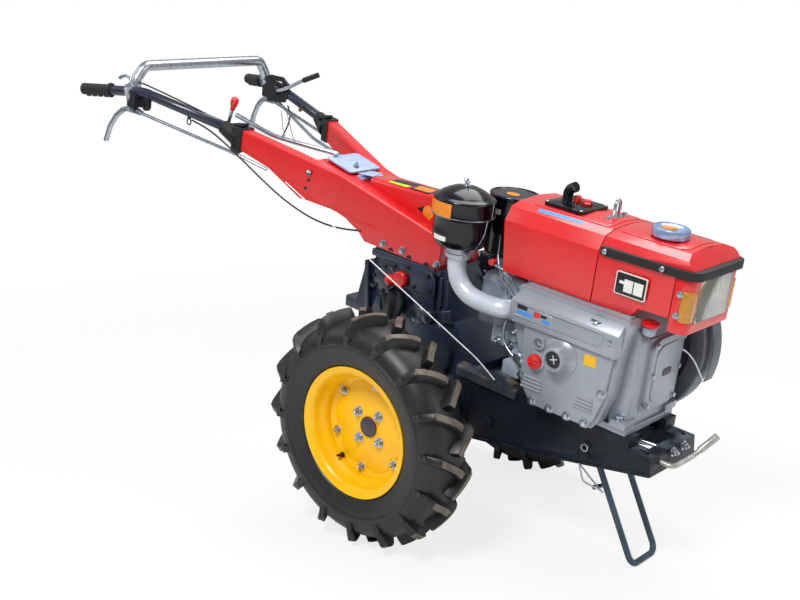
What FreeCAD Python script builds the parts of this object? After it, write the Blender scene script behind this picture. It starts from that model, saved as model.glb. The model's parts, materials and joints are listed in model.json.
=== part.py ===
import FreeCAD, Part
import math
import os

# Two-wheel walking tractor with a horizontal single-cylinder diesel engine.
#
# The machine is laid out level, in millimetres, about its axle: X forward, Y to the left, Z up, and the
# wheel axis along Y through the origin. It parks nose-down on its wheels and front stand, so every piece
# is then turned about the axle by park_pitch and moved to the height at which the tyres stand on z = 0.

Vec = FreeCAD.Vector

# ---- driving dimensions -------------------------------------------------------------------------
park_pitch = 9.5            # nose-down lean of the parked machine, degrees

# wheels, tyre 6.00-12
tyre_radius = 314.0         # to the lug tips
tyre_width = 158.0
tread_half = 349.0          # half the distance between the two wheels' mid-planes
bead_radius = 152.0
rim_flange_radius = 172.0
rim_half_width = 62.0
rim_wall = 4.0
rim_well_radius = 138.0
disc_wall = 7.0
hub_flange_radius = 78.0
hub_flange_thickness = 14.0
hub_sleeve_radius = 42.0
axle_shaft_radius = 22.0
running_clearance = 0.05    # radial, of a shaft in its bearing
hub_cap_radius = 27.0
hub_cap_length = 8.0        # how far the cap stands out of the disc
wheel_gap = 8.0             # end gap between a turning hub or pulley and its housing
hub_bolt_circle = 100.0
hub_bolt_turn = 54.5        # of the first bolt above the level forward line, degrees

# gearbox and final drive
gearbox_half_width = 75.0
final_drive_radius = 98.0
axle_tube_radius = 47.0
axle_tube_end = 255.0
input_shaft_x = -110.0
input_shaft_z = 225.0
input_shaft_radius = 17.0
input_boss_radius = 42.0
input_boss_end = 196.0
filler_x = -160.0
filler_z = 310.0
hitch_pin_radius = 11.0
hitch_x = -378.0
hitch_bottom_z = 150.0
hitch_lug_thickness = 28.0
hitch_half_width = 50.0
hitch_reach = 26.0          # from the pin's middle to the lug's rear end

# handle frame
arm_rear_x = -728.0
arm_front_x = -45.0
arm_outer_y = 194.0         # outer face at the rear end
arm_bend_x = -420.0         # where the arms turn to run beside the centre box
arm_bend_y = 97.6
arm_front_y = 84.0
arm_width = 42.0
arm_wall = 3.0
arm_top_rear_z = 606.0
arm_top_front_z = 455.0
centre_top_rear_z = 543.0
centre_top_front_z = 551.0
centre_half_width = 43.0
centre_rear_x = -353.0
handle_tube_radius = 15.0
grip_radius = 17.0
grip_collar_radius = 22.0
grip_length = 100.0
crossbar_radius = 16.0
rod_radius = 5.0

# engine
crank_x = 425.0
crank_z = 307.0
crankcase_rear_x = 250.0
crankcase_front_x = 590.0
crankcase_half_width = 108.0
engine_base_z = 148.0
crankcase_top_z = 440.0
gear_case_face_y = 166.0
cover_thickness = 16.0
head_rear_x = 165.0
head_half_width = 96.0
flywheel_radius = 215.0
flywheel_side_gap = 9.0      # between the hood's left side and the flywheel
flywheel_width = 60.0
guard_gap = 15.0
guard_sheet = 2.5
guard_width = 42.0
guard_end_angle = -16.0     # below the level forward line, degrees
guard_far_angle = 98.0
guard_flange_height = 26.0
pulley_width = 52.0
engine_pulley_radius = 84.0
clutch_pulley_radius = 122.0
belt_count = 3
belt_pitch = 16.0
belt_width = 13.0
belt_depth = 9.0
belt_side_gap = 0.5
belt_proud = 1.0            # the belt's outside stands this far above the pulley's rim
groove_taper = 0.31         # sideways slope of a groove's wall
groove_floor_gap = 3.0
crank_shaft_radius = 25.0

# hopper, tank and lamp
hood_half_width = 129.0
tank_front_half_width = 112.0
hopper_rear_x = 178.0
tank_rear_x = 455.0
seam_gap = 3.0
tank_front_x = 700.0
hopper_bottom_z = 447.0
shoulder_z = 574.0
hood_top_z = 622.0
bumper_z = 579.0
bumper_height = 20.0
bumper_depth = 8.0
lamp_setback = 5.0         # of the lamp behind the front of the tank
cap_x = 568.0
cap_y = -18.0
cap_radius = 45.0

# intake and exhaust
cleaner_x = 52.0
cleaner_y = -134.0
cleaner_radius = 81.0
cleaner_lower_radius = 74.0
cleaner_top_z = 607.0
cleaner_bottom_z = 476.0
intake_pipe_radius = 24.0
port_x = 215.0
port_z = 352.0
muffler_x = 101.0
muffler_y = 12.0
muffler_radius = 65.0
muffler_top_z = 607.0

# engine bed, stand and tow hook
bed_half_width = 108.0
bed_rear_x = 118.0
bed_front_x = 672.0
bed_top_z = 120.0
bed_wall = 7.0
bed_rail_width = 46.0
rail_height = 27.0
stand_pivot_x = 494.0
stand_pivot_z = 56.0
stand_bar_radius = 8.0
stand_half_width = 57.5
stand_lean = 32.0           # forward lean of the legs in the level machine, degrees
stand_pin_radius = 7.0
stand_boss_radius = 14.0
rail_hole_x = 652.0
rail_hole_y = 86.0
rail_hole_radius = 5.5

# cables
brake_cable_radius = 2.6
throttle_cable_radius = 1.7
left_cable_radius = 2.5
lamp_wire_radius = 2.0

tilt = math.radians(park_pitch)
flywheel_inner_y = hood_half_width + flywheel_side_gap


# ---- helpers ------------------------------------------------------------------------------------
def box(x0, x1, y0, y1, z0, z1):
    low = Vec(min(x0, x1), min(y0, y1), min(z0, z1))
    return Part.makeBox(abs(x1 - x0), abs(y1 - y0), abs(z1 - z0), low)


def cylinder(start, end, radius):
    start = Vec(*start)
    run = Vec(*end) - start
    return Part.makeCylinder(radius, run.Length, start, run)


def cross_cylinder(x, z, y0, y1, radius):
    return cylinder((x, min(y0, y1), z), (x, max(y0, y1), z), radius)


def cone(start, end, radius_start, radius_end):
    start = Vec(*start)
    run = Vec(*end) - start
    return Part.makeCone(radius_start, radius_end, run.Length, start, run)


def side_prism(outline, y0, y1):
    """A closed outline of (x, z) points, extruded from y0 to y1."""
    points = [Vec(x, min(y0, y1), z) for x, z in outline]
    face = Part.Face(Part.makePolygon(points + points[:1]))
    return face.extrude(Vec(0, abs(y1 - y0), 0))


def front_prism(outline, x0, x1):
    """A closed outline of (y, z) points, extruded from x0 to x1."""
    points = [Vec(min(x0, x1), y, z) for y, z in outline]
    face = Part.Face(Part.makePolygon(points + points[:1]))
    return face.extrude(Vec(abs(x1 - x0), 0, 0))


def plan_prism(outline, z0, z1):
    """A closed outline of (x, y) points, extruded from z0 to z1."""
    points = [Vec(x, y, z0) for x, y in outline]
    face = Part.Face(Part.makePolygon(points + points[:1]))
    return face.extrude(Vec(0, 0, z1 - z0))


def revolve_y(outline):
    """A closed outline of (radius, y) points, turned about the wheel axis."""
    points = [Vec(r, y, 0) for r, y in outline]
    face = Part.Face(Part.makePolygon(points + points[:1]))
    return face.revolve(Vec(0, 0, 0), Vec(0, 1, 0), 360)


def revolve_z(outline, x, y):
    """A closed outline of (radius, z) points, turned about an upright axis at x, y."""
    points = [Vec(x + r, y, z) for r, z in outline]
    face = Part.Face(Part.makePolygon(points + points[:1]))
    return face.revolve(Vec(x, y, 0), Vec(0, 0, 1), 360)


def mirrored(shape):
    return shape.mirror(Vec(0, 0, 0), Vec(0, 1, 0))


def moved(shape, x, y, z):
    copy = shape.copy()
    copy.translate(Vec(x, y, z))
    return copy


def fused(first, *others):
    return first.multiFuse(list(others)).removeSplitter()


def cut(shape, *tools):
    for tool in tools:
        shape = shape.cut(tool)
    return shape


def round_edges(shape, radius, keep):
    """Fillet the edges for which keep(edge) is true."""
    chosen = [edge for edge in shape.Edges if keep(edge)]
    return shape.makeFillet(radius, chosen)


def runs_along(edge, axis, tolerance=0.02):
    if edge.Curve.TypeId != "Part::GeomLine":
        return False
    run = edge.Vertexes[-1].Point - edge.Vertexes[0].Point
    run.normalize()
    return abs(abs(run.dot(axis)) - 1.0) < tolerance


def bent_path(points, bend=None):
    """Straight runs joined by tangent arcs.

    With no bend radius each arc is as large as its runs allow, as on a cable. Returns the wire,
    the list of arc radii and the length.
    """
    points = [Vec(*p) for p in points]
    edges = []
    radii = []
    last = points[0]
    for before, corner, after in zip(points, points[1:], points[2:]):
        into = corner - before
        out = after - corner
        shorter = min(into.Length, out.Length)
        into.normalize()
        out.normalize()
        half_turn = into.getAngle(out) / 2
        radius = bend if bend else 0.45 * shorter / math.tan(half_turn)
        reach = radius * math.tan(half_turn)
        start = corner - into * reach
        end = corner + out * reach
        inward = out - into
        inward.normalize()
        middle = corner + inward * (radius / math.cos(half_turn) - radius)
        if (start - last).Length > 1e-3:
            edges.append(Part.LineSegment(last, start).toShape())
        edges.append(Part.Arc(start, middle, end).toShape())
        radii.append(radius)
        last = end
    edges.append(Part.LineSegment(last, points[-1]).toShape())
    wire = Part.Wire(edges)
    return wire, radii, wire.Length


def tube(points, radius, bend=None):
    """A round bar along straight runs and tangent arcs."""
    wire, radii, length = bent_path(points, bend)
    start = Vec(*points[0])
    heading = Vec(*points[1]) - start
    ring = Part.Wire([Part.makeCircle(radius, start, heading)])
    return wire.makePipeShell([ring], True, True)


def side_blade(points, half_widths, y0, y1):
    """A flat lever: a line of (x, z) points with a half width at each, extruded from y0 to y1."""
    over = []
    under = []
    for k, (x, z) in enumerate(points):
        before = points[max(k - 1, 0)]
        after = points[min(k + 1, len(points) - 1)]
        run = math.hypot(after[0] - before[0], after[1] - before[1])
        across = ((before[1] - after[1]) / run, (after[0] - before[0]) / run)
        over.append((x + across[0] * half_widths[k], z + across[1] * half_widths[k]))
        under.append((x - across[0] * half_widths[k], z - across[1] * half_widths[k]))
    return side_prism(over + under[::-1], y0, y1)


def cable(name, points, radius):
    wire, radii, length = bent_path(points)
    solid = tube(points, radius)
    share = solid.Volume / (math.pi * radius * radius * length)
    rounded = ", ".join("%.0f" % r for r in radii)
    print("%s: length %.0f mm, volume share %.4f, arc radii %s" % (name, length, share, rounded))
    return solid


def belt_loop(small, large, depth, top_width, root_width, y):
    """A vee belt drawn round two circles, each given as (x, z, radius of the belt's outside)."""
    x1, z1, r1 = small
    x2, z2, r2 = large
    run = math.hypot(x2 - x1, z2 - z1)
    along = math.atan2(z2 - z1, x2 - x1)
    lift = math.acos((r1 - r2) / run)

    def rim(x, z, r, angle):
        return Vec(x + r * math.cos(angle), y, z + r * math.sin(angle))

    a1 = rim(x1, z1, r1, along + lift)
    b1 = rim(x2, z2, r2, along + lift)
    a2 = rim(x1, z1, r1, along - lift)
    b2 = rim(x2, z2, r2, along - lift)
    path = Part.Wire([
        Part.LineSegment(a1, b1).toShape(),
        Part.Arc(b1, rim(x2, z2, r2, along), b2).toShape(),
        Part.LineSegment(b2, a2).toShape(),
        Part.Arc(a2, rim(x1, z1, r1, along + math.pi), a1).toShape(),
    ])
    inward = Vec(x1, y, z1) - a1
    inward.normalize()
    across = Vec(0, 1, 0)
    corners = [a1 - across * (top_width / 2), a1 + across * (top_width / 2),
               a1 + inward * depth + across * (root_width / 2),
               a1 + inward * depth - across * (root_width / 2)]
    section = Part.makePolygon(corners + corners[:1])
    return path.makePipeShell([section], True, False)


# ---- wheels -------------------------------------------------------------------------------------
def wheel_parts():
    """The left wheel's pieces; the right ones are their mirror images."""
    middle = tread_half
    half = tyre_width / 2
    inside = [(bead_radius + 2, -rim_half_width + 6), (rim_flange_radius + 6, -rim_half_width),
              (rim_flange_radius + 26, -half + 8), (tyre_radius - 70, -half), (tyre_radius - 42, -half + 3)]
    crown = [(tyre_radius - 26, -half + 12), (tyre_radius - 13, -half + 23), (tyre_radius - 5, -half + 38),
             (tyre_radius, -half + 58)]
    near = inside + crown
    far = [(radius, -y) for radius, y in reversed(near)]
    carcass = [(bead_radius + 2, 30), (tyre_radius - 60, 52), (tyre_radius - 60, -52), (bead_radius + 2, -30)]
    tyre = revolve_y([(radius, middle + y) for radius, y in near + far + carcass])

    rim = revolve_y([
        (rim_flange_radius, middle - rim_half_width), (rim_flange_radius, middle - rim_half_width + 4),
        (bead_radius + 6, middle - rim_half_width + 6), (bead_radius, middle - rim_half_width + 24),
        (rim_well_radius, middle - 22), (rim_well_radius, middle + 22),
        (bead_radius, middle + rim_half_width - 24), (bead_radius + 6, middle + rim_half_width - 6),
        (rim_flange_radius, middle + rim_half_width - 4), (rim_flange_radius, middle + rim_half_width),
        (bead_radius + 2, middle + rim_half_width), (bead_radius - rim_wall, middle + rim_half_width - 22),
        (rim_well_radius - rim_wall, middle + 18), (rim_well_radius - rim_wall, middle - 18),
        (bead_radius - rim_wall, middle - rim_half_width + 22), (bead_radius + 2, middle - rim_half_width),
    ])
    disc_in = middle - disc_wall
    disc = revolve_y([
        (axle_shaft_radius, disc_in - 6), (hub_flange_radius + 8, disc_in - 6),
        (hub_flange_radius + 20, disc_in), (rim_well_radius - rim_wall, disc_in + 4),
        (rim_well_radius - rim_wall, disc_in + 4 + disc_wall), (hub_flange_radius + 18, disc_in + disc_wall),
        (hub_flange_radius + 6, disc_in - 6 + disc_wall), (axle_shaft_radius, disc_in - 6 + disc_wall),
    ])
    face_y = disc_in - 6
    hub_low = axle_tube_end + wheel_gap
    hub = fused(
        cross_cylinder(0, 0, face_y - hub_flange_thickness, face_y, hub_flange_radius),
        cross_cylinder(0, 0, hub_low, face_y, hub_sleeve_radius),
        cross_cylinder(0, 0, gearbox_half_width + 45, face_y + disc_wall + 2, axle_shaft_radius),
    )
    cap = cross_cylinder(0, 0, face_y + disc_wall + 2, face_y + disc_wall + hub_cap_length, hub_cap_radius)
    bolts = []
    for k in range(4):
        angle = math.radians(hub_bolt_turn + 90 * k)
        x = hub_bolt_circle / 2 * math.cos(angle)
        z = hub_bolt_circle / 2 * math.sin(angle)
        bolts.append(cross_cylinder(x, z, face_y + disc_wall, face_y + disc_wall + 9, 9))
    hub = fused(hub, cap)
    disc = fused(disc, *bolts)
    return {"tyre": cut(tyre, rim), "rim": fused(rim, disc), "hub": hub}


# ---- gearbox and axle ---------------------------------------------------------------------------
def gearbox_parts():
    outline = [
        (-262, 383), (-36, 366), (-8, 330), (20, 240), (70, 190), (bed_rear_x, bed_top_z + 26),
        (bed_rear_x, -40), (70, -62), (-60, -70), (-130, -40), (-215, 60), (-290, 160), (-300, 260),
    ]
    case = side_prism(outline, -gearbox_half_width, gearbox_half_width)
    case = round_edges(case, 9, lambda e: runs_along(e, Vec(0, 1, 0)))
    side = gearbox_half_width
    case = fused(
        case,
        cross_cylinder(0, 0, -side - 40, side + 40, final_drive_radius),
        cross_cylinder(-30, 150, -side - 22, side + 22, 70),
        cross_cylinder(-165, 236, -side - 34, side + 34, 30),
        cross_cylinder(input_shaft_x, input_shaft_z, side, input_boss_end, input_boss_radius),
        side_prism([(-270, 392), (-34, 374), (-34, 352), (-270, 366)], -side - 10, side + 10),
    )
    shaft_bore = cross_cylinder(input_shaft_x, input_shaft_z, 120, input_boss_end + 5,
                                input_shaft_radius + running_clearance)
    flat = side_prism([(-300, 440), (0, 440), (-37, 366), (-245, 384), (-300, 392)], -200, 200)
    arm = right_arm(arm_outline(0), 0)
    case = cut(case, shaft_bore, flat, arm, mirrored(arm))

    housing_left = fused(
        cone((0, side + 40, 0), (0, side + 95, 0), final_drive_radius - 8, axle_tube_radius),
        cross_cylinder(0, 0, side + 95, axle_tube_end, axle_tube_radius),
        cross_cylinder(0, 0, axle_tube_end - 22, axle_tube_end, axle_tube_radius + 14),
    )
    axle_bore = cross_cylinder(0, 0, -400, 400, axle_shaft_radius + running_clearance)
    housing_left = cut(housing_left, axle_bore)
    case = cut(case, axle_bore)

    cover = side_prism([(-235, 352), (-52, 336), (-40, 250), (-75, 215), (-205, 225), (-250, 290)],
                       -side - 12, -side)
    cover = round_edges(cover, 16, lambda e: runs_along(e, Vec(0, 1, 0)))
    cover = cut(cover, case)
    left_cover = mirrored(cover)
    left_cover = cut(left_cover, case)

    cap = fused(
        cross_cylinder(filler_x, filler_z, -side - 12, -side - 30, 23),
        cylinder((filler_x - 12, -side - 24, filler_z - 4), (filler_x - 34, -side - 26, filler_z - 13), 8),
        Part.makeSphere(14, Vec(filler_x - 36, -side - 26, filler_z - 14)),
    )

    lug_top_z = hitch_bottom_z + hitch_lug_thickness
    lug = box(hitch_x - hitch_reach, -290, -hitch_half_width, hitch_half_width, hitch_bottom_z, lug_top_z)
    web = side_prism([(-360, lug_top_z - 20), (-290, hitch_bottom_z), (-290, 312), (-330, 309)],
                     -hitch_half_width, hitch_half_width)
    hitch = fused(web, lug)
    hitch = round_edges(hitch, 14,
                        lambda e: runs_along(e, Vec(0, 0, 1), 0.3) and e.BoundBox.XMax < hitch_x - 15)
    pin_bore = cylinder((hitch_x, 0, hitch_bottom_z - 40), (hitch_x, 0, hitch_bottom_z + 300),
                        hitch_pin_radius)
    hitch = cut(hitch, pin_bore, case)

    return {
        "gearbox_case": case,
        "gearbox_covers": Part.makeCompound([cover, left_cover]),
        "axle_housings": Part.makeCompound([housing_left, mirrored(housing_left)]),
        "gearbox_filler_cap": cap,
        "hitch_bracket": hitch,
    }


# ---- handle frame -------------------------------------------------------------------------------
def arm_top(x):
    share = (x - arm_rear_x) / (arm_front_x - arm_rear_x)
    return arm_top_rear_z + share * (arm_top_front_z - arm_top_rear_z)


def arm_outline(inset):
    """The arm seen from the side, pulled in by inset along its top and bottom."""
    lower = [
        (arm_rear_x - 3, 547), (-640, 515), (-537, 447), (-506, 445), (-441, 437), (-386, 423),
        (-332, 397), (-309, 376), (-266, 374), (arm_front_x, 367),
    ]
    lower = [(x, z + inset) for x, z in lower]
    upper = [(arm_front_x, arm_top_front_z - inset), (arm_rear_x, arm_top_rear_z - inset)]
    return lower + upper


def right_arm(outline, inset, inner_reach=0.0):
    """The right arm: its side outline, kept between its outer and inner faces."""
    reach = arm_width - inset - inner_reach
    bend_in = arm_bend_x + 40
    plan = [
        (arm_rear_x - 60, -arm_outer_y - 60 * arm_slope() + inset), (arm_bend_x, -arm_bend_y + inset),
        (arm_front_x - inset, -arm_front_y + inset), (arm_front_x - inset, -centre_half_width - inset),
        (bend_in, -centre_half_width - inset), (arm_rear_x - 60, -arm_outer_y - 60 * arm_slope() + reach),
    ]
    return side_prism(outline, -260, 0).common(plan_prism(plan, 300, 700))


def arm_slope():
    """Sideways run of an arm's rear part per unit of length."""
    return (arm_outer_y - arm_bend_y) / (arm_bend_x - arm_rear_x)


def handle_frame_parts():
    shell = right_arm(arm_outline(0), 0)
    top_edge = lambda e: e.BoundBox.XLength > 250 and e.BoundBox.ZMax > arm_top(arm_bend_x) - 5
    shell = round_edges(shell, 6, top_edge)
    core = right_arm(arm_outline(arm_wall), arm_wall)
    arm_right = cut(shell, core)
    arm_left = mirrored(arm_right)
    solid_arm = right_arm(arm_outline(0), 0)

    top_rear = (centre_rear_x, centre_top_rear_z)
    top_front = (arm_front_x, centre_top_front_z)
    centre = side_prism([(centre_rear_x, 440), (arm_front_x, 372), top_front, top_rear],
                        -centre_half_width, centre_half_width)
    centre = round_edges(centre, 12, lambda e: e.BoundBox.XLength > 250 and e.BoundBox.ZMax > 500)
    bridge_rear_x = -524.0
    bridge_front_x = centre_rear_x + 1
    drop = 3.0
    bridge = side_prism([
        (bridge_rear_x, arm_top(bridge_rear_x) - drop), (bridge_rear_x, arm_top(bridge_rear_x) - 66),
        (bridge_front_x, arm_top(bridge_front_x) - 76), (bridge_front_x, arm_top(bridge_front_x) - drop)],
        -130, 130)
    # the space between the arms: the bridge reaches no further out than their inner faces
    between = plan_prism([
        (arm_rear_x, arm_outer_y - arm_width), (arm_bend_x + 40, centre_half_width),
        (arm_front_x, centre_half_width), (arm_front_x, -centre_half_width),
        (arm_bend_x + 40, -centre_half_width), (arm_rear_x, -arm_outer_y + arm_width)], 300, 700)
    bridge = bridge.common(between)
    centre = cut(fused(centre, bridge), solid_arm, mirrored(solid_arm))

    # cast socket: a square collar on the arm's end, drawn in to the tube
    end_top = arm_top_rear_z
    end_low = 547.0
    collar = side_prism([(arm_rear_x - 32, end_low - 6), (arm_rear_x - 3, end_low - 6),
                         (arm_rear_x, end_top + 4), (arm_rear_x - 32, end_top + 5)], -260, 0)
    back_y = -arm_outer_y - 40 * arm_slope()
    collar_plan = plan_prism([
        (arm_rear_x - 40, back_y - 4), (arm_rear_x + 5, -arm_outer_y + 5 * arm_slope() - 4),
        (arm_rear_x + 5, -arm_outer_y + arm_width + 4), (arm_rear_x - 40, back_y + arm_width + 4)],
        300, 700)
    collar = collar.common(collar_plan)
    neck_start = Vec(arm_rear_x - 30, -arm_outer_y + arm_width / 2 - 8, 577)
    neck_end = Vec(-812, -195, 600)
    neck = cone(neck_start, neck_end, 29, 20)
    tube_points = [(-752, -180, 592), (-1105, -265, 648), (-1214, -307, 635), (-1307, -334, 623)]
    handle = tube(tube_points, handle_tube_radius, 160)
    socket = cut(fused(collar, neck), handle, shell)

    grip_axis = Vec(*tube_points[3]) - Vec(*tube_points[2])
    grip_axis.normalize()
    tip = Vec(*tube_points[3])
    end = tip + grip_axis * 3
    start = end - grip_axis * grip_length
    grip = fused(
        cylinder(tuple(start), tuple(end), grip_radius),
        cylinder(tuple(start - grip_axis * 9), tuple(start), grip_collar_radius),
    )
    grip = cut(grip, handle)

    clamp_x = -1148.0
    bar = tube([(clamp_x + 2, -272, 640), (clamp_x, -258, 680), (clamp_x + 2, -231, 718),
                (clamp_x + 2, 231, 718), (clamp_x, 258, 680), (clamp_x + 2, 272, 640)],
               crossbar_radius, 34)
    left_handle = mirrored(handle)
    bar = cut(bar, handle, left_handle)
    band = cylinder((clamp_x - 14, -276, 643.5), (clamp_x + 14, -286, 641), handle_tube_radius + 5)
    band = cut(band, handle, bar)
    bands = Part.makeCompound([band, mirrored(band)])

    return {
        "handle_arm_right": arm_right,
        "handle_arm_left": arm_left,
        "handle_frame_centre": centre,
        "arm_sockets": Part.makeCompound([socket, mirrored(socket)]),
        "handle_tubes": Part.makeCompound([handle, left_handle]),
        "grips": Part.makeCompound([grip, mirrored(grip)]),
        "crossbar": bar,
        "crossbar_clamps": bands,
    }


# ---- controls -----------------------------------------------------------------------------------
def control_parts(frame_parts):
    tubes = frame_parts["handle_tubes"]
    block_right = box(-1150, -1112, -290, -256, 598, 642)
    block_right = round_edges(block_right, 6, lambda e: runs_along(e, Vec(0, 1, 0)))
    eye_tab = side_prism([(-1098, 640), (-1068, 638), (-1070, 604), (-1078, 596), (-1092, 596), (-1100, 606)],
                         -272, -260)
    eye_tab = cut(eye_tab, cross_cylinder(-1085, 610, -300, -240, 5.5))
    block_right = cut(fused(block_right, eye_tab), tubes, frame_parts["crossbar_clamps"],
                      frame_parts["crossbar"])
    block_left = mirrored(block_right)
    brackets = Part.makeCompound([block_right, block_left])

    # steering clutch levers: the hand end hangs behind the block, the rod pulls on the front end
    lever_line = [(-1096, 585), (-1130, 588), (-1158, 588), (-1188, 579), (-1222, 554),
                  (-1253, 514), (-1275, 462)]
    lever = side_blade(lever_line, [6, 9, 9, 7, 6, 5.5, 5], -281, -266)
    lever = cut(lever, block_right)
    far_line = [(-1096, 585), (-1130, 588), (-1150, 587), (-1168, 577), (-1187, 554), (-1203, 516),
                (-1214, 470)]
    far_lever = cut(side_blade(far_line, [6, 9, 9, 7, 6, 5.5, 5], -281, -266), block_right)
    levers = Part.makeCompound([lever, mirrored(far_lever)])

    rod_right = tube([(-1100, -273, 585), (-750, -206, 537), (-645, -166, 508)], rod_radius, 300)
    rod_right = cut(rod_right, lever, frame_parts["handle_arm_right"], frame_parts["arm_sockets"])
    rod_left = mirrored(rod_right)

    quadrant = side_prism([(-1100, 672), (-1078, 684), (-1020, 686), (-990, 668), (-985, 640), (-1004, 606),
                           (-1085, 596)], 221, 229)
    slot = side_blade([(-1060, 668), (-1022, 668), (-1002, 642)], [3, 3, 3], 215, 235)
    quadrant = cut(quadrant, tubes, slot)
    quadrant = fused(quadrant, cross_cylinder(-1045, 640, 205, 221, 16))
    quadrant = cut(quadrant, tubes)
    clutch_lever = tube([(-1040, 212, 640), (-992, 214, 655), (-940, 240, 690)], 5.5, 40)
    clutch_grip = cylinder((-940, 240, 690), (-896, 262, 715), 8.5)
    clutch_lever = cut(fused(clutch_lever, clutch_grip), tubes)
    clutch_rod = tube([(-1012, 206, 606), (-762, 128, 548), (-560, 60, 540)], rod_radius, 400)
    clutch_rod = cut(clutch_rod, quadrant, clutch_lever, tubes)

    throttle = fused(
        tube([(-1150, -264, 662), (-1182, -262, 678), (-1206, -262, 680)], 4, 14),
        cylinder((-1204, -262, 680), (-1226, -262, 668), 6),
        cylinder((-1150, -277, 656), (-1150, -251, 666), 13),
    )
    throttle = cut(throttle, tubes, frame_parts["crossbar"], frame_parts["crossbar_clamps"])

    knob_lever = fused(
        cylinder((-818, -170, 606), (-805, -170, 654), 4.5),
        cone((-806, -170, 650), (-798, -170, 674), 7, 12),
        Part.makeSphere(12.2, Vec(-797.4, -170, 677)),
    )
    knob_lever = cut(knob_lever, frame_parts["arm_sockets"], tubes)
    shift_rod = tube([(-852, -112, 620), (-700, -96, 587), (-500, -30, 574)], 7, 300)

    gate_tilt = math.degrees(math.atan2(arm_top_rear_z - arm_top_front_z, arm_front_x - arm_rear_x))
    gate = box(-512, -412, -62, 62, 0, 5)
    gate = round_edges(gate, 12, lambda e: runs_along(e, Vec(0, 0, 1)))
    gate = fused(gate, box(-512, -508, -58, 58, -26, 3), box(-402, -378, -44, 44, -6, -2))
    gate.rotate(Vec(-512, 0, 0), Vec(0, 1, 0), gate_tilt)
    gate.translate(Vec(0, 0, arm_top(-512) + 4))
    gate = cut(gate, frame_parts["handle_frame_centre"])
    shift_rod = cut(shift_rod, gate, frame_parts["handle_frame_centre"])
    clutch_rod = cut(clutch_rod, gate, frame_parts["handle_frame_centre"], frame_parts["handle_arm_left"])
    return {
        "lever_brackets": brackets,
        "steering_levers": levers,
        "control_rods": Part.makeCompound([rod_right, rod_left, clutch_rod]),
        "clutch_lever": fused(quadrant, clutch_lever),
        "throttle_lever": throttle,
        "lock_lever": knob_lever,
        "shift_rod": shift_rod,
        "shift_gate": gate,
    }


# ---- engine -------------------------------------------------------------------------------------
def head_port():
    """The flange on the side of the cylinder head that carries the intake pipe."""
    return cylinder((port_x, -head_half_width + 6, port_z), (port_x, -head_half_width - 16, port_z), 32)


def engine_parts():
    half = crankcase_half_width
    case = side_prism([
        (crankcase_rear_x, engine_base_z + 40), (crankcase_rear_x + 60, engine_base_z),
        (crankcase_front_x, engine_base_z), (crankcase_front_x, crankcase_top_z - 60),
        (crankcase_front_x - 50, crankcase_top_z), (crankcase_rear_x, crankcase_top_z)],
        -half + 12, half - 12)
    case = round_edges(case, 14, lambda e: runs_along(e, Vec(0, 1, 0)))
    feet = box(crankcase_rear_x + 70, crankcase_front_x + 8, -half - 4, half + 4, engine_base_z,
               engine_base_z + 16)
    sump = box(crankcase_rear_x + 90, crankcase_front_x - 40, -52, 52, 82, engine_base_z + 5)
    sump = round_edges(sump, 14, lambda e: runs_along(e, Vec(0, 0, 1)))
    boss = cross_cylinder(crank_x, crank_z, half - 20, flywheel_inner_y - wheel_gap, 62)
    case = fused(case, feet, sump, boss)
    crank_bore = cross_cylinder(crank_x, crank_z, 40, 300, crank_shaft_radius + running_clearance)
    case = cut(case, crank_bore)

    gear_outline = [(266, 441), (585, 441), (574, 400), (566, 345), (560, 250), (534, 158),
                    (337, 176), (300, 240), (262, 351)]
    back = -half + 12
    gear_case = side_prism(gear_outline, back, -gear_case_face_y + cover_thickness)
    gear_case = round_edges(gear_case, 12, lambda e: runs_along(e, Vec(0, 1, 0)))
    cover = side_prism(gear_outline, -gear_case_face_y + cover_thickness, -gear_case_face_y)
    cover = round_edges(cover, 12, lambda e: runs_along(e, Vec(0, 1, 0)))
    hand_z = crank_z - 4
    hand_hole = cross_cylinder(crank_x, hand_z, -gear_case_face_y - 60, -gear_case_face_y + 4, 20)
    crank_boss = cone((crank_x, -gear_case_face_y, hand_z), (crank_x, -gear_case_face_y - 36, hand_z), 52, 27)
    cover = cut(fused(cover, crank_boss), hand_hole)
    band = side_prism([(270, 438), (582, 438), (566, 352), (300, 354)], -gear_case_face_y - 10,
                      -gear_case_face_y)
    band = round_edges(band, 8, lambda e: runs_along(e, Vec(0, 1, 0)))
    cover = fused(cover, band)
    feet_clear = box(crankcase_rear_x, crankcase_front_x + 10, -half - 5, -half + 12, engine_base_z - 1,
                     engine_base_z + 17)
    gear_case = cut(gear_case, feet_clear, case)

    plate_z = crank_z - 18
    front_cover = box(crankcase_front_x, crankcase_front_x + 14, -52, 88, plate_z - 92, plate_z + 92)
    front_cover = round_edges(front_cover, 34, lambda e: runs_along(e, Vec(1, 0, 0)))
    front_cover = cut(front_cover, case)

    head = box(head_rear_x, crankcase_rear_x, -head_half_width, head_half_width, 236, 428)
    head = round_edges(head, 12, lambda e: runs_along(e, Vec(1, 0, 0)))
    rocker = box(head_rear_x - 70, head_rear_x, -68, 68, 262, 404)
    rocker = round_edges(rocker, 22, lambda e: runs_along(e, Vec(1, 0, 0)))
    exhaust = cylinder((muffler_x, muffler_y, 398), (muffler_x, muffler_y, 438), 25)
    head = fused(head, head_port())
    rocker = fused(rocker, exhaust)
    return {
        "crankcase": case,
        "gear_case": gear_case,
        "gear_cover": cover,
        "crankcase_front_cover": front_cover,
        "cylinder_head": head,
        "rocker_cover": rocker,
    }


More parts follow.
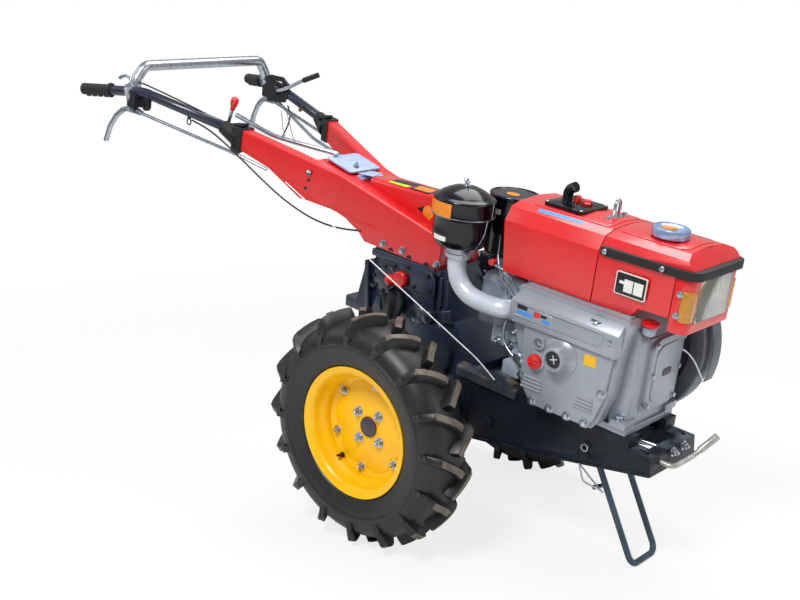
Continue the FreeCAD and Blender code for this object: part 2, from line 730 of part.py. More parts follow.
def pulley(x, z, radius, y0, hub_radius):
    """A vee-belt pulley with a groove for each belt."""
    wheel = cross_cylinder(x, z, y0, y0 + pulley_width, radius)
    first = y0 + (pulley_width - (belt_count - 1) * belt_pitch) / 2
    for k in range(belt_count):
        middle = first + k * belt_pitch
        half_open = belt_width / 2 + belt_side_gap
        groove_depth = belt_depth + groove_floor_gap
        half_root = half_open - groove_depth * groove_taper
        top = radius + belt_proud
        ring = [(top, middle - half_open), (top - groove_depth, middle - half_root),
                (top - groove_depth, middle + half_root), (top, middle + half_open)]
        groove = moved(revolve_y(ring), x, 0, z)
        wheel = cut(wheel, groove)
    dish = cross_cylinder(x, z, y0 + pulley_width - 14, y0 + pulley_width + 1, radius - 26)
    core = cross_cylinder(x, z, y0 + pulley_width - 16, y0 + pulley_width, hub_radius)
    return fused(cut(wheel, dish), core)


def flywheel_guard():
    """A sheet guard round the front and top of the flywheel, hung from the hopper's left side."""
    inside = flywheel_radius + guard_gap
    outside = inside + guard_sheet
    y0 = flywheel_inner_y + 10
    ring = cross_cylinder(crank_x, crank_z, y0, y0 + guard_width, outside)
    ring = cut(ring, cross_cylinder(crank_x, crank_z, y0 - 1, y0 + guard_width + 1, inside))
    reach = 2 * outside
    wedge = [(crank_x, crank_z)]
    for share in (0.0, 0.25, 0.5, 0.75, 1.0):
        angle = math.radians(guard_end_angle + share * (guard_far_angle - guard_end_angle))
        wedge.append((crank_x + reach * math.cos(angle), crank_z + reach * math.sin(angle)))
    ring = ring.common(side_prism(wedge, y0 - 5, y0 + guard_width + 5))
    top_z = crank_z + outside
    arm = box(crank_x - 22, crank_x + 18, hood_half_width, y0 + 30, top_z - 1.5, top_z + 3)
    flange_low = min(top_z - 1.5, shoulder_z - guard_flange_height)
    flange_high = max(top_z + 3, shoulder_z - 10)
    flange = box(crank_x - 22, crank_x + 18, hood_half_width, hood_half_width + 4, flange_low, flange_high)
    return cut(fused(ring, arm, flange), cross_cylinder(crank_x, crank_z, 0, 400, inside))


def rotor_parts():
    y0 = flywheel_inner_y
    wheel = moved(revolve_y([
        (26, y0 + 8), (60, y0 + 8), (78, y0 + 22), (flywheel_radius - 52, y0 + 22),
        (flywheel_radius - 40, y0), (flywheel_radius - 4, y0), (flywheel_radius, y0 + 4),
        (flywheel_radius, y0 + flywheel_width - 4), (flywheel_radius - 4, y0 + flywheel_width),
        (flywheel_radius - 40, y0 + flywheel_width), (flywheel_radius - 52, y0 + 44), (26, y0 + 44),
    ]), crank_x, 0, crank_z)
    stub = cross_cylinder(crank_x, crank_z, 55, y0 + 44, crank_shaft_radius)
    wheel = fused(wheel, stub, cross_cylinder(crank_x, crank_z, y0 + 44, y0 + flywheel_width + 6, 60))
    pulley_y = y0 + flywheel_width + 6
    engine_pulley = pulley(crank_x, crank_z, engine_pulley_radius, pulley_y, 34)
    clutch = pulley(input_shaft_x, input_shaft_z, clutch_pulley_radius, pulley_y, 46)
    input_shaft = cross_cylinder(input_shaft_x, input_shaft_z, 130, pulley_y, input_shaft_radius)
    clutch = fused(clutch, input_shaft)

    belts = []
    first = pulley_y + (pulley_width - (belt_count - 1) * belt_pitch) / 2
    root_width = belt_width - 2 * belt_depth * groove_taper
    for k in range(belt_count):
        belts.append(belt_loop(
            (crank_x, crank_z, engine_pulley_radius + belt_proud),
            (input_shaft_x, input_shaft_z, clutch_pulley_radius + belt_proud),
            belt_depth, belt_width, root_width, first + k * belt_pitch))
    return {"flywheel": wheel, "flywheel_guard": flywheel_guard(), "engine_pulley": engine_pulley,
            "clutch_pulley": clutch, "drive_belts": Part.makeCompound(belts)}


# ---- hopper, tank, lamp -------------------------------------------------------------------------
def hood_section(bottom_z):
    """Half-octagon section shared by the hopper and the tank."""
    half = hood_half_width
    return [(-half, bottom_z), (-half, shoulder_z), (-half + 20, hood_top_z - 14),
            (-half + 50, hood_top_z - 4), (0, hood_top_z + 2), (half - 50, hood_top_z - 4),
            (half - 20, hood_top_z - 14), (half, shoulder_z), (half, bottom_z)]


def tank_plan(grow, z0, z1):
    """The tank's outline from above, grown outwards and forwards, between two heights."""
    return plan_prism([
        (tank_rear_x, -hood_half_width - grow), (tank_front_x + grow, -tank_front_half_width - grow),
        (tank_front_x + grow, tank_front_half_width + grow), (tank_rear_x, hood_half_width + grow)], z0, z1)


def hood_parts():
    hopper = front_prism(hood_section(hopper_bottom_z), hopper_rear_x, tank_rear_x - seam_gap)
    hopper_length = tank_rear_x - seam_gap - hopper_rear_x
    hopper = round_edges(hopper, 8, lambda e: abs(e.BoundBox.XLength - hopper_length) < 1
                         and e.BoundBox.ZMax > hopper_bottom_z + 20 and abs(e.BoundBox.ZMax - shoulder_z) < 2)
    lean = side_prism([(hopper_rear_x - 5, shoulder_z), (hopper_rear_x, shoulder_z),
                       (hopper_rear_x + 16, hopper_bottom_z - 1), (hopper_rear_x - 5, hopper_bottom_z - 1)],
                      -200, 200)
    hopper = cut(hopper, lean)

    tank = front_prism(hood_section(hopper_bottom_z), tank_rear_x, tank_front_x)
    slope = side_prism([(tank_front_x + 1, bumper_z), (tank_front_x + 1, hood_top_z + 20),
                        (tank_front_x - 42, hood_top_z + 20), (tank_front_x - 42, hood_top_z - 2),
                        (tank_front_x - 9, bumper_z + 11), (tank_front_x - 9, bumper_z)], -200, 200)
    tank = cut(tank, slope).common(tank_plan(0, hopper_bottom_z - 1, hopper_bottom_z + 300))
    tank = round_edges(tank, 26, lambda e: runs_along(e, Vec(0, 0, 1)) and e.BoundBox.XMin > tank_front_x - 2)
    lamp_low = 438.0
    lamp_top = bumper_z - bumper_height / 2 - 2
    lamp_rear_x = 652.0
    lamp_space = box(lamp_rear_x - 2, tank_front_x + 10, -200, 200, lamp_low - 20, lamp_top)
    step = side_prism([(tank_rear_x + 105, hopper_bottom_z - 1), (tank_rear_x + 120, hopper_bottom_z + 22),
                       (tank_front_x + 10, hopper_bottom_z + 22), (tank_front_x + 10, hopper_bottom_z - 1)],
                      -200, 200)
    tank = cut(tank, lamp_space, step)
    neck = cylinder((cap_x, cap_y, hood_top_z - 6), (cap_x, cap_y, hood_top_z + 4), cap_radius - 12)
    tank = fused(tank, neck)
    cap = fused(
        cylinder((cap_x, cap_y, hood_top_z + 4), (cap_x, cap_y, hood_top_z + 22), cap_radius),
        cone((cap_x, cap_y, hood_top_z + 22), (cap_x, cap_y, hood_top_z + 26), cap_radius - 3,
             cap_radius - 18),
    )

    housing = tank_plan(-1, lamp_low, lamp_top - 2)
    lamp_front_x = tank_front_x - lamp_setback
    housing = cut(housing, box(tank_rear_x - 5, lamp_rear_x, -200, 200, lamp_low - 1, lamp_top),
                  box(lamp_front_x, tank_front_x + 5, -200, 200, lamp_low - 1, lamp_top))
    housing = round_edges(housing, 24,
                          lambda e: runs_along(e, Vec(0, 0, 1)) and e.BoundBox.XMin > lamp_front_x - 2)
    lens_half = 79.0
    lens_low = 460.0
    lens_high = lamp_top - 5
    lens = box(lamp_front_x - 8, lamp_front_x + 2, -lens_half, lens_half, lens_low, lens_high)
    amber_block = box(lamp_front_x - 24, lamp_front_x + 1, lens_half + 2, tank_front_half_width + 2,
                      lens_low + 6, lens_high - 22)
    amber_block = round_edges(amber_block, 20, lambda e: runs_along(e, Vec(0, 0, 1))
                              and e.BoundBox.XMin > lamp_front_x - 5 and e.BoundBox.YMin > lens_half + 10)
    housing = cut(housing, lens, amber_block, mirrored(amber_block))
    ambers = Part.makeCompound([amber_block, mirrored(amber_block)])

    low = bumper_z - bumper_height / 2
    high = bumper_z + bumper_height / 2
    outer = tank_plan(bumper_depth, low, high)
    outer = round_edges(outer, 34, lambda e: runs_along(e, Vec(0, 0, 1)) and e.BoundBox.XMin > tank_front_x)
    outer = cut(outer, box(tank_rear_x - 20, tank_rear_x + 6, -200, 200, low - 1, high + 1))
    inner = tank_plan(-9, low - 1, high + 1)
    inner = round_edges(inner, 24,
                        lambda e: runs_along(e, Vec(0, 0, 1)) and e.BoundBox.XMin > tank_front_x - 12)
    bumper = cut(outer, inner, tank)

    top_plate = box(236, 350, -60, 64, hood_top_z, hood_top_z + 8)
    top_plate = round_edges(top_plate, 10, lambda e: runs_along(e, Vec(0, 0, 1)))
    top_plate = cut(top_plate, hopper)
    spout = tube([(262, 6, hood_top_z + 6), (262, 6, hood_top_z + 36), (284, 2, hood_top_z + 48)], 13, 20)
    spout = cut(spout, top_plate)
    knobs = Part.makeCompound([
        cylinder((284, 18, hood_top_z + 8), (284, 18, hood_top_z + 24), 8),
        cylinder((313, 18, hood_top_z + 8), (313, 18, hood_top_z + 20), 13),
    ])
    eye_x = 402.0
    eye_y = 12.0
    eye_half = 11.0
    eye = tube([(eye_x, eye_y - eye_half, hood_top_z - 2), (eye_x, eye_y - eye_half, hood_top_z + 36),
                (eye_x, eye_y, hood_top_z + 47), (eye_x, eye_y + eye_half, hood_top_z + 36),
                (eye_x, eye_y + eye_half, hood_top_z - 2)], 4, 7)
    eye = fused(eye, box(eye_x - 12, eye_x + 12, eye_y - 20, eye_y + 20, hood_top_z, hood_top_z + 4))
    eye = cut(eye, hopper)
    return {
        "hopper": hopper, "fuel_tank": tank, "tank_cap": cap, "lamp_housing": housing,
        "lamp_lens": lens, "side_lenses": ambers, "tank_bumper": bumper,
        "hopper_plate": fused(top_plate, spout), "hopper_knobs": knobs, "lifting_eye": eye,
    }


# ---- intake and exhaust -------------------------------------------------------------------------
def breathing_parts():
    cleaner = revolve_z([
        (0, cleaner_bottom_z), (cleaner_lower_radius - 20, cleaner_bottom_z),
        (cleaner_lower_radius - 8, cleaner_bottom_z + 8), (cleaner_lower_radius, cleaner_bottom_z + 30),
        (cleaner_lower_radius, cleaner_bottom_z + 78), (cleaner_radius, cleaner_bottom_z + 84),
        (cleaner_radius, cleaner_top_z - 6),
        (cleaner_radius - 6, cleaner_top_z), (cleaner_radius - 14, cleaner_top_z + 12),
        (28, cleaner_top_z + 30), (8, cleaner_top_z + 32), (8, cleaner_top_z + 46), (0, cleaner_top_z + 46),
    ], cleaner_x, cleaner_y)
    elbow = tube([(cleaner_x, cleaner_y, cleaner_bottom_z), (cleaner_x, cleaner_y, port_z),
                  (port_x, cleaner_y, port_z)], intake_pipe_radius, 78)
    elbow = fused(
        elbow,
        cylinder((cleaner_x, cleaner_y, cleaner_bottom_z - 30), (cleaner_x, cleaner_y, cleaner_bottom_z), 34),
        Part.makeSphere(intake_pipe_radius + 1, Vec(port_x, cleaner_y, port_z)),
        cylinder((port_x, cleaner_y, port_z), (port_x, -head_half_width - 16, port_z),
                 intake_pipe_radius + 1),
    )
    elbow = cut(elbow, head_port())
    muffler = revolve_z([
        (0, 438), (30, 438), (muffler_radius - 4, 448), (muffler_radius, 456),
        (muffler_radius, muffler_top_z - 6), (muffler_radius - 5, muffler_top_z), (0, muffler_top_z),
    ], muffler_x, muffler_y)
    outlet = cylinder((muffler_x - 10, muffler_y + muffler_radius - 6, 500),
                      (muffler_x - 10, muffler_y + muffler_radius + 50, 500), 19)
    muffler = fused(muffler, outlet)
    return {"air_cleaner": cleaner, "intake_pipe": elbow, "muffler": muffler}


# ---- bed, stand, hook ---------------------------------------------------------------------------
def bed_parts():
    low_rear = (bed_rear_x, -46)
    outline = [(bed_rear_x, bed_top_z), low_rear, (374, 2), (bed_front_x + 8, 72), (bed_front_x, bed_top_z)]
    block = side_prism(outline, -bed_half_width, bed_half_width)
    inner_half = bed_half_width - bed_wall
    hollow = side_prism([(bed_rear_x + 12, bed_top_z - bed_wall), (bed_rear_x + 12, -80), (374, -40),
                         (bed_front_x - 4, 30), (bed_front_x - bed_wall, bed_top_z - bed_wall)],
                        -inner_half, inner_half)
    window_half = bed_half_width - bed_rail_width
    window = box(bed_front_x - 76, bed_front_x - 30, -window_half, window_half, bed_top_z - 30, bed_top_z + 5)
    long_window = box(bed_rear_x + 80, bed_front_x - 120, -window_half, window_half,
                      bed_top_z - 30, bed_top_z + 5)
    pin_hole = cross_cylinder(stand_pivot_x, stand_pivot_z, -400, 400, stand_pin_radius)
    bed = cut(block, hollow, window, long_window, pin_hole)

    rail_x0 = crankcase_rear_x + 30
    rail_x1 = crankcase_front_x + 22
    rail = box(rail_x0, rail_x1, -bed_half_width - 4, -window_half, bed_top_z, engine_base_z)

    pin = cross_cylinder(stand_pivot_x, stand_pivot_z, -bed_half_width - 6, bed_half_width + 6,
                         stand_pin_radius)
    pin_heads = [cross_cylinder(stand_pivot_x, stand_pivot_z, side * (bed_half_width + 1),
                                side * (bed_half_width + 7), stand_pin_radius + 4) for side in (-1, 1)]
    pin = fused(pin, *pin_heads)

    lean = math.radians(stand_lean)
    pivot_height = axle_height() + (-stand_pivot_x * math.sin(tilt) + stand_pivot_z * math.cos(tilt))
    leg = (pivot_height - stand_bar_radius) / math.cos(lean - tilt)
    foot_x = stand_pivot_x + leg * math.sin(lean)
    foot_z = stand_pivot_z - leg * math.cos(lean)
    half = stand_half_width
    frame = tube([(stand_pivot_x, -half, stand_pivot_z), (foot_x, -half, foot_z), (foot_x, half, foot_z),
                  (stand_pivot_x, half, stand_pivot_z)], stand_bar_radius, 24)
    sleeves = [cross_cylinder(stand_pivot_x, stand_pivot_z, side * (half - 14), side * (half + 14),
                              stand_boss_radius) for side in (-1, 1)]
    frame = fused(frame, *sleeves)
    pin_bore = cross_cylinder(stand_pivot_x, stand_pivot_z, -400, 400, stand_pin_radius + running_clearance)
    frame = cut(frame, pin_bore)

    hook = tube([(bed_front_x - 24, -58, 97), (bed_front_x + 36, -55, 96), (bed_front_x + 50, 8, 112),
                 (bed_front_x + 72, 50, 149)], 6.5, 20)
    hook = fused(hook, cylinder((bed_front_x + 58, 24, 126), (bed_front_x + 78, 62, 161), 9))
    bed = cut(bed, hook)
    for side in (-1, 1):
        hole = cylinder((rail_hole_x, side * rail_hole_y, bed_top_z - 30),
                        (rail_hole_x, side * rail_hole_y, bed_top_z + 30), rail_hole_radius)
        bed = cut(bed, hole)
    bed = fused(bed, rail, mirrored(rail))
    return {"engine_bed": bed, "stand_pin": pin, "stand": frame, "tow_hook": hook}


def axle_height():
    return tyre_radius


# ---- cables -------------------------------------------------------------------------------------
def cable_parts():
    brake_cable = cable("brake_cable", [
        (-922, -223, 598), (-864, -219, 589), (-805, -218, 572), (-748, -218, 551), (-696, -214, 527),
        (-649, -206, 501), (-604, -196, 475), (-559, -184, 450), (-512, -171, 429), (-461, -160, 413),
        (-407, -148, 405), (-352, -135, 405), (-299, -121, 413)], brake_cable_radius)
    throttle_cable = cable("throttle_cable", [
        (-568, -163, 490), (128, -158, 226), (176, -148, 201), (216, -128, 158)], throttle_cable_radius)
    left_cable = cable("left_cable", [
        (-985, 222, 600), (-950, 204, 580), (-924, 174, 559), (-903, 140, 539),
        (-880, 105, 522)], left_cable_radius)
    lamp_wire = cable("lamp_wire", [
        (594, 92, 331), (607, 103, 323), (621, 110, 311), (633, 118, 293), (643, 127, 271),
        (649, 141, 249)], lamp_wire_radius)
    return {"brake_cable": brake_cable, "throttle_cable": throttle_cable,
            "left_cable": left_cable, "lamp_wire": lamp_wire}


# ---- assembly -----------------------------------------------------------------------------------
def to_park(point):
    """A point of the level machine, in the parked machine's frame, before the origin is set."""
    x, y, z = point
    return (x * math.cos(tilt) + z * math.sin(tilt), y,
            -x * math.sin(tilt) + z * math.cos(tilt) + axle_height())


def build():
    parts = {}
    for name, shape in wheel_parts().items():
        parts[name + "_left"] = shape
        parts[name + "_right"] = mirrored(shape)
    parts.update(gearbox_parts())
    frame_parts = handle_frame_parts()
    parts.update(frame_parts)
    parts.update(control_parts(frame_parts))
    parts.update(engine_parts())
    parts.update(rotor_parts())
    parts.update(hood_parts())
    parts.update(breathing_parts())
    parts.update(bed_parts())
    parts.update(cable_parts())

    placed = {}
    for name, shape in parts.items():
        copy = shape.copy()
        copy.rotate(Vec(0, 0, 0), Vec(0, 1, 0), park_pitch)
        copy.translate(Vec(0, 0, axle_height()))
        placed[name] = copy
    low_x = min(shape.BoundBox.XMin for shape in placed.values())
    high_x = max(shape.BoundBox.XMax for shape in placed.values())
    shift = -(low_x + high_x) / 2
    for shape in placed.values():
        shape.translate(Vec(shift, 0, 0))
    return placed, shift


def main():
    os.makedirs("parts", exist_ok=True)
    placed, shift = build()
    for name, shape in placed.items():
        shape.exportStep("parts/%s.step" % name)
    print("%d nodes, axle at x = %.3f mm, z = %.3f mm" % (len(placed), shift, axle_height()))
    for label, point in (("crank", (crank_x, 0, crank_z)), ("input shaft", (input_shaft_x, 0, input_shaft_z)),
                         ("stand pivot", (stand_pivot_x, 0, stand_pivot_z)),
                         ("hitch", (hitch_x, 0, hitch_bottom_z))):
        x, y, z = to_park(point)
        print("%s axis: %.3f %.3f %.3f" % (label, x + shift, y, z))


main()
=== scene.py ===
import bmesh
import bpy
import json
import math
from mathutils import Matrix, Vector


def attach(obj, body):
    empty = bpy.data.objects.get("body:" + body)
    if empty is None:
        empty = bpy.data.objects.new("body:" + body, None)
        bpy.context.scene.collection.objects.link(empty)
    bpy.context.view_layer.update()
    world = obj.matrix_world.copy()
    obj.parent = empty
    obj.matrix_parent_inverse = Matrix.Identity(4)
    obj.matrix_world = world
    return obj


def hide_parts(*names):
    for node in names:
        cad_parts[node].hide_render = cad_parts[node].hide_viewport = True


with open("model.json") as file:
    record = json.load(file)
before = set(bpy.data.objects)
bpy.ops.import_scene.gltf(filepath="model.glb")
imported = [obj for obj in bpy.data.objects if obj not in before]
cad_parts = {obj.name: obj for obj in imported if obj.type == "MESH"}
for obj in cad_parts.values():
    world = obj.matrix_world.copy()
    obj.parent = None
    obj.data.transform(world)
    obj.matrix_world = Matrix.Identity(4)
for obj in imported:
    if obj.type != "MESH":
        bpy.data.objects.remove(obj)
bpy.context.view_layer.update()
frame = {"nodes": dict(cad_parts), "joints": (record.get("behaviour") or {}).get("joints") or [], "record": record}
slotOf = {part["node"]: part["material_slot"] for part in frame["record"]["subparts"]}
bodyOf = {node: body for body, nodes in frame["record"]["behaviour"]["bodies"].items() for node in nodes}
wheelSides = ((1, "left"), (-1, "right"))

# Everything is drawn in millimetres on the level machine, X forward, Y left, Z up, axle at the
# origin, and toPark leans it nose-down on its wheels and stand and turns it to metres.
parking = {"pitch": 9.5}                     # degrees, nose down
axle = next(j for j in frame["joints"] if j["name"] == "right_wheel_spin")["pos_m"]
leanOnly = Matrix.Rotation(math.radians(parking["pitch"]), 4, "Y")
toPark = Matrix.Translation((axle[0], 0, axle[2])) @ leanOnly @ Matrix.Scale(0.001, 4)
fromPark = toPark.inverted()


# camera, floor and light
view = {
    "place": (1802.58, -2446.89, 1334.21),
    "right": (0.739222, 0.664748, 0.107987),
    "up": (-0.30007, 0.181558, 0.93648),
    "lens": 53.278,
}


def makeCamera():
    right, up = Vector(view["right"]).normalized(), Vector(view["up"]).normalized()
    turn = Matrix((right, up, right.cross(up))).transposed().to_4x4()
    camera = bpy.data.objects.new("camera", bpy.data.cameras.new("camera"))
    camera.data.lens, camera.data.sensor_width = view["lens"], 36
    camera.matrix_world = Matrix.Translation(toPark @ Vector(view["place"])) @ leanOnly @ turn
    bpy.context.scene.collection.objects.link(camera)
    bpy.context.scene.camera = camera


def linear(hexColour):                       # sRGB hex to the linear colour that a socket takes
    parts = [int(hexColour[k:k + 2], 16) / 255 for k in (1, 3, 5)]
    return tuple(c / 12.92 if c < 0.04045 else ((c + 0.055) / 1.055) ** 2.4 for c in parts) + (1.0,)


def addNode(tree, kind, inputs=None, **settings):
    # an input is a value, a socket, or a node that stands for its first output
    node = tree.nodes.new(kind)
    for key, value in settings.items():
        setattr(node, key, value)
    for key, value in (inputs or {}).items():
        if isinstance(value, bpy.types.Node):
            value = value.outputs[0]
        if isinstance(value, bpy.types.NodeSocket):
            tree.links.new(value, node.inputs[key])
        else:
            node.inputs[key].default_value = value
    return node


def maths(tree, operation, first, second=0.5):
    return addNode(tree, "ShaderNodeMath", {0: first, 1: second}, operation=operation)


def ranged(tree, value, low, high, toLow=0.0, toHigh=1.0):
    return addNode(tree, "ShaderNodeMapRange", {"Value": value, "From Min": low, "From Max": high,
                                                "To Min": toLow, "To Max": toHigh})


def mixed(tree, share, first, second):       # a colour between two, by a share
    return addNode(tree, "ShaderNodeMix", {0: share, 6: first, 7: second}, data_type="RGBA").outputs[2]


def noise(tree, size, detail, roughness=0.5):     # noise with features of that many millimetres
    spot = addNode(tree, "ShaderNodeTexCoord").outputs["Object"]
    return addNode(tree, "ShaderNodeTexNoise", {"Vector": spot, "Scale": 1000.0 / size, "Detail": detail,
                                                "Roughness": roughness})


def bump(tree, height, strength, depth):     # depth in millimetres
    return addNode(tree, "ShaderNodeBump", {"Height": height, "Strength": strength, "Distance": depth / 1000})


def newMaterial(name):
    material = bpy.data.materials.new(name)
    material.use_nodes = True
    material.node_tree.nodes.clear()
    return material, material.node_tree


def surface(tree, values):
    shader = addNode(tree, "ShaderNodeBsdfPrincipled", values)
    addNode(tree, "ShaderNodeOutputMaterial", {"Surface": shader})


studio = {
    "floor": "#F4F4F2", "backdrop": "#FFFFFF", "skyForObject": 0.20, "skyForGloss": 0.42, "floorWhite": 0.8,
    "floorFade": (1.2, 3.4), "floorHalf": 14,    # metres
    "lamps": [                               # place and aim on the parked machine, size and power
        {"place": (1.0, -3.0, 3.9), "aim": (0.1, 0, 0.5), "size": 1.1, "watts": 150},
        {"place": (-2.6, -1.6, 2.6), "aim": (0, 0, 0.5), "size": 2.0, "watts": 16},
        {"place": (0.4, 1.2, 3.9), "aim": (0, 0, 0.6), "size": 2.6, "watts": 105},
        {"place": (3.6, 0.6, 1.6), "aim": (0.5, 0, 0.5), "size": 1.6, "watts": 22},
    ],
}


def makeStage():
    world = bpy.data.worlds.new("studio")
    bpy.context.scene.world = world
    world.use_nodes = True
    tree = world.node_tree
    tree.nodes.clear()
    rays = addNode(tree, "ShaderNodeLightPath").outputs
    seen = maths(tree, "MAXIMUM", rays["Is Camera Ray"], rays["Is Transmission Ray"])
    gloss = maths(tree, "MULTIPLY", rays["Is Glossy Ray"], studio["skyForGloss"])
    strength = maths(tree, "MAXIMUM", maths(tree, "MAXIMUM", seen, gloss), studio["skyForObject"])
    white = linear(studio["backdrop"])
    sky = addNode(tree, "ShaderNodeBackground", {"Color": white, "Strength": strength})
    addNode(tree, "ShaderNodeOutputWorld", {"Surface": sky})

    paper, tree = newMaterial("seamlessPaper")            # matt white paper roll
    spot = addNode(tree, "ShaderNodeTexCoord").outputs["Object"]
    reach = addNode(tree, "ShaderNodeVectorMath", {0: spot}, operation="LENGTH").outputs["Value"]
    fade = ranged(tree, reach, *studio["floorFade"], studio["floorWhite"], 1.0)
    share = maths(tree, "MULTIPLY", addNode(tree, "ShaderNodeLightPath").outputs["Is Camera Ray"], fade)
    matt = addNode(tree, "ShaderNodeBsdfPrincipled", {"Base Color": linear(studio["floor"]),
                                                      "Roughness": 0.95,
                                                      "Specular IOR Level": 0.1})
    glow = addNode(tree, "ShaderNodeEmission", {"Color": white, "Strength": 1.0})
    both = addNode(tree, "ShaderNodeMixShader", {0: share, 1: matt, 2: glow})
    addNode(tree, "ShaderNodeOutputMaterial", {"Surface": both})
    half = studio["floorHalf"]
    mesh = bpy.data.meshes.new("floor")
    mesh.from_pydata([(-half, -half, 0), (half, -half, 0), (half, half, 0), (-half, half, 0)], [],
                     [(0, 1, 2, 3)])
    mesh.materials.append(paper)
    floor = bpy.data.objects.new("floor", mesh)
    bpy.context.scene.collection.objects.link(floor)
    for k, lamp in enumerate(studio["lamps"]):
        light = bpy.data.lights.new("softbox%d" % k, "AREA")
        light.shape, light.size, light.energy = "SQUARE", lamp["size"], lamp["watts"]
        box = bpy.data.objects.new("softbox%d" % k, light)
        box.location = lamp["place"]
        box.rotation_mode = "QUATERNION"
        box.rotation_quaternion = (Vector(lamp["aim"]) - box.location).to_track_quat("-Z", "Y")
        bpy.context.scene.collection.objects.link(box)
    bpy.context.scene.view_settings.view_transform = "Standard"


makeCamera()
makeStage()
print("camera, floor and light ready")


# finishes
def finish(name, look):
    # one worn or dusty finish: two tones of the colour, settled dust, fine surface relief
    first, second, toneMm, grainMm, rough, spread, relief, reliefMm, more = look
    material, tree = newMaterial(name)
    broad, fine = noise(tree, toneMm, 4.0, 0.6), noise(tree, grainMm, 3.0, 0.65)
    colour = mixed(tree, ranged(tree, broad, 0.38, 0.66), linear(first), linear(second))
    if "dust" in more:
        normal = addNode(tree, "ShaderNodeNewGeometry").outputs["Normal"]
        up = addNode(tree, "ShaderNodeSeparateXYZ", {0: normal}).outputs[2]
        full = more["dustShare"]
        lying = ranged(tree, up, 0.1, 0.95, full * more.get("dustSide", 0.25), full)
        share = maths(tree, "MULTIPLY", lying, ranged(tree, broad, 0.45, 0.7))
        colour = mixed(tree, share, colour, linear(more["dust"]))
    values = {"Base Color": colour, "Roughness": ranged(tree, fine, 0.3, 0.7, rough - spread, rough + spread),
              "Normal": bump(tree, fine, relief, reliefMm), "Metallic": more.get("metal", 0.0)}
    if "metal" not in more:
        values["IOR"] = 1.5
    for key, socket in (("specular", "Specular IOR Level"), ("coat", "Coat Weight"),
                        ("coatRough", "Coat Roughness")):
        if key in more:
            values[socket] = more[key]
    surface(tree, values)
    return material


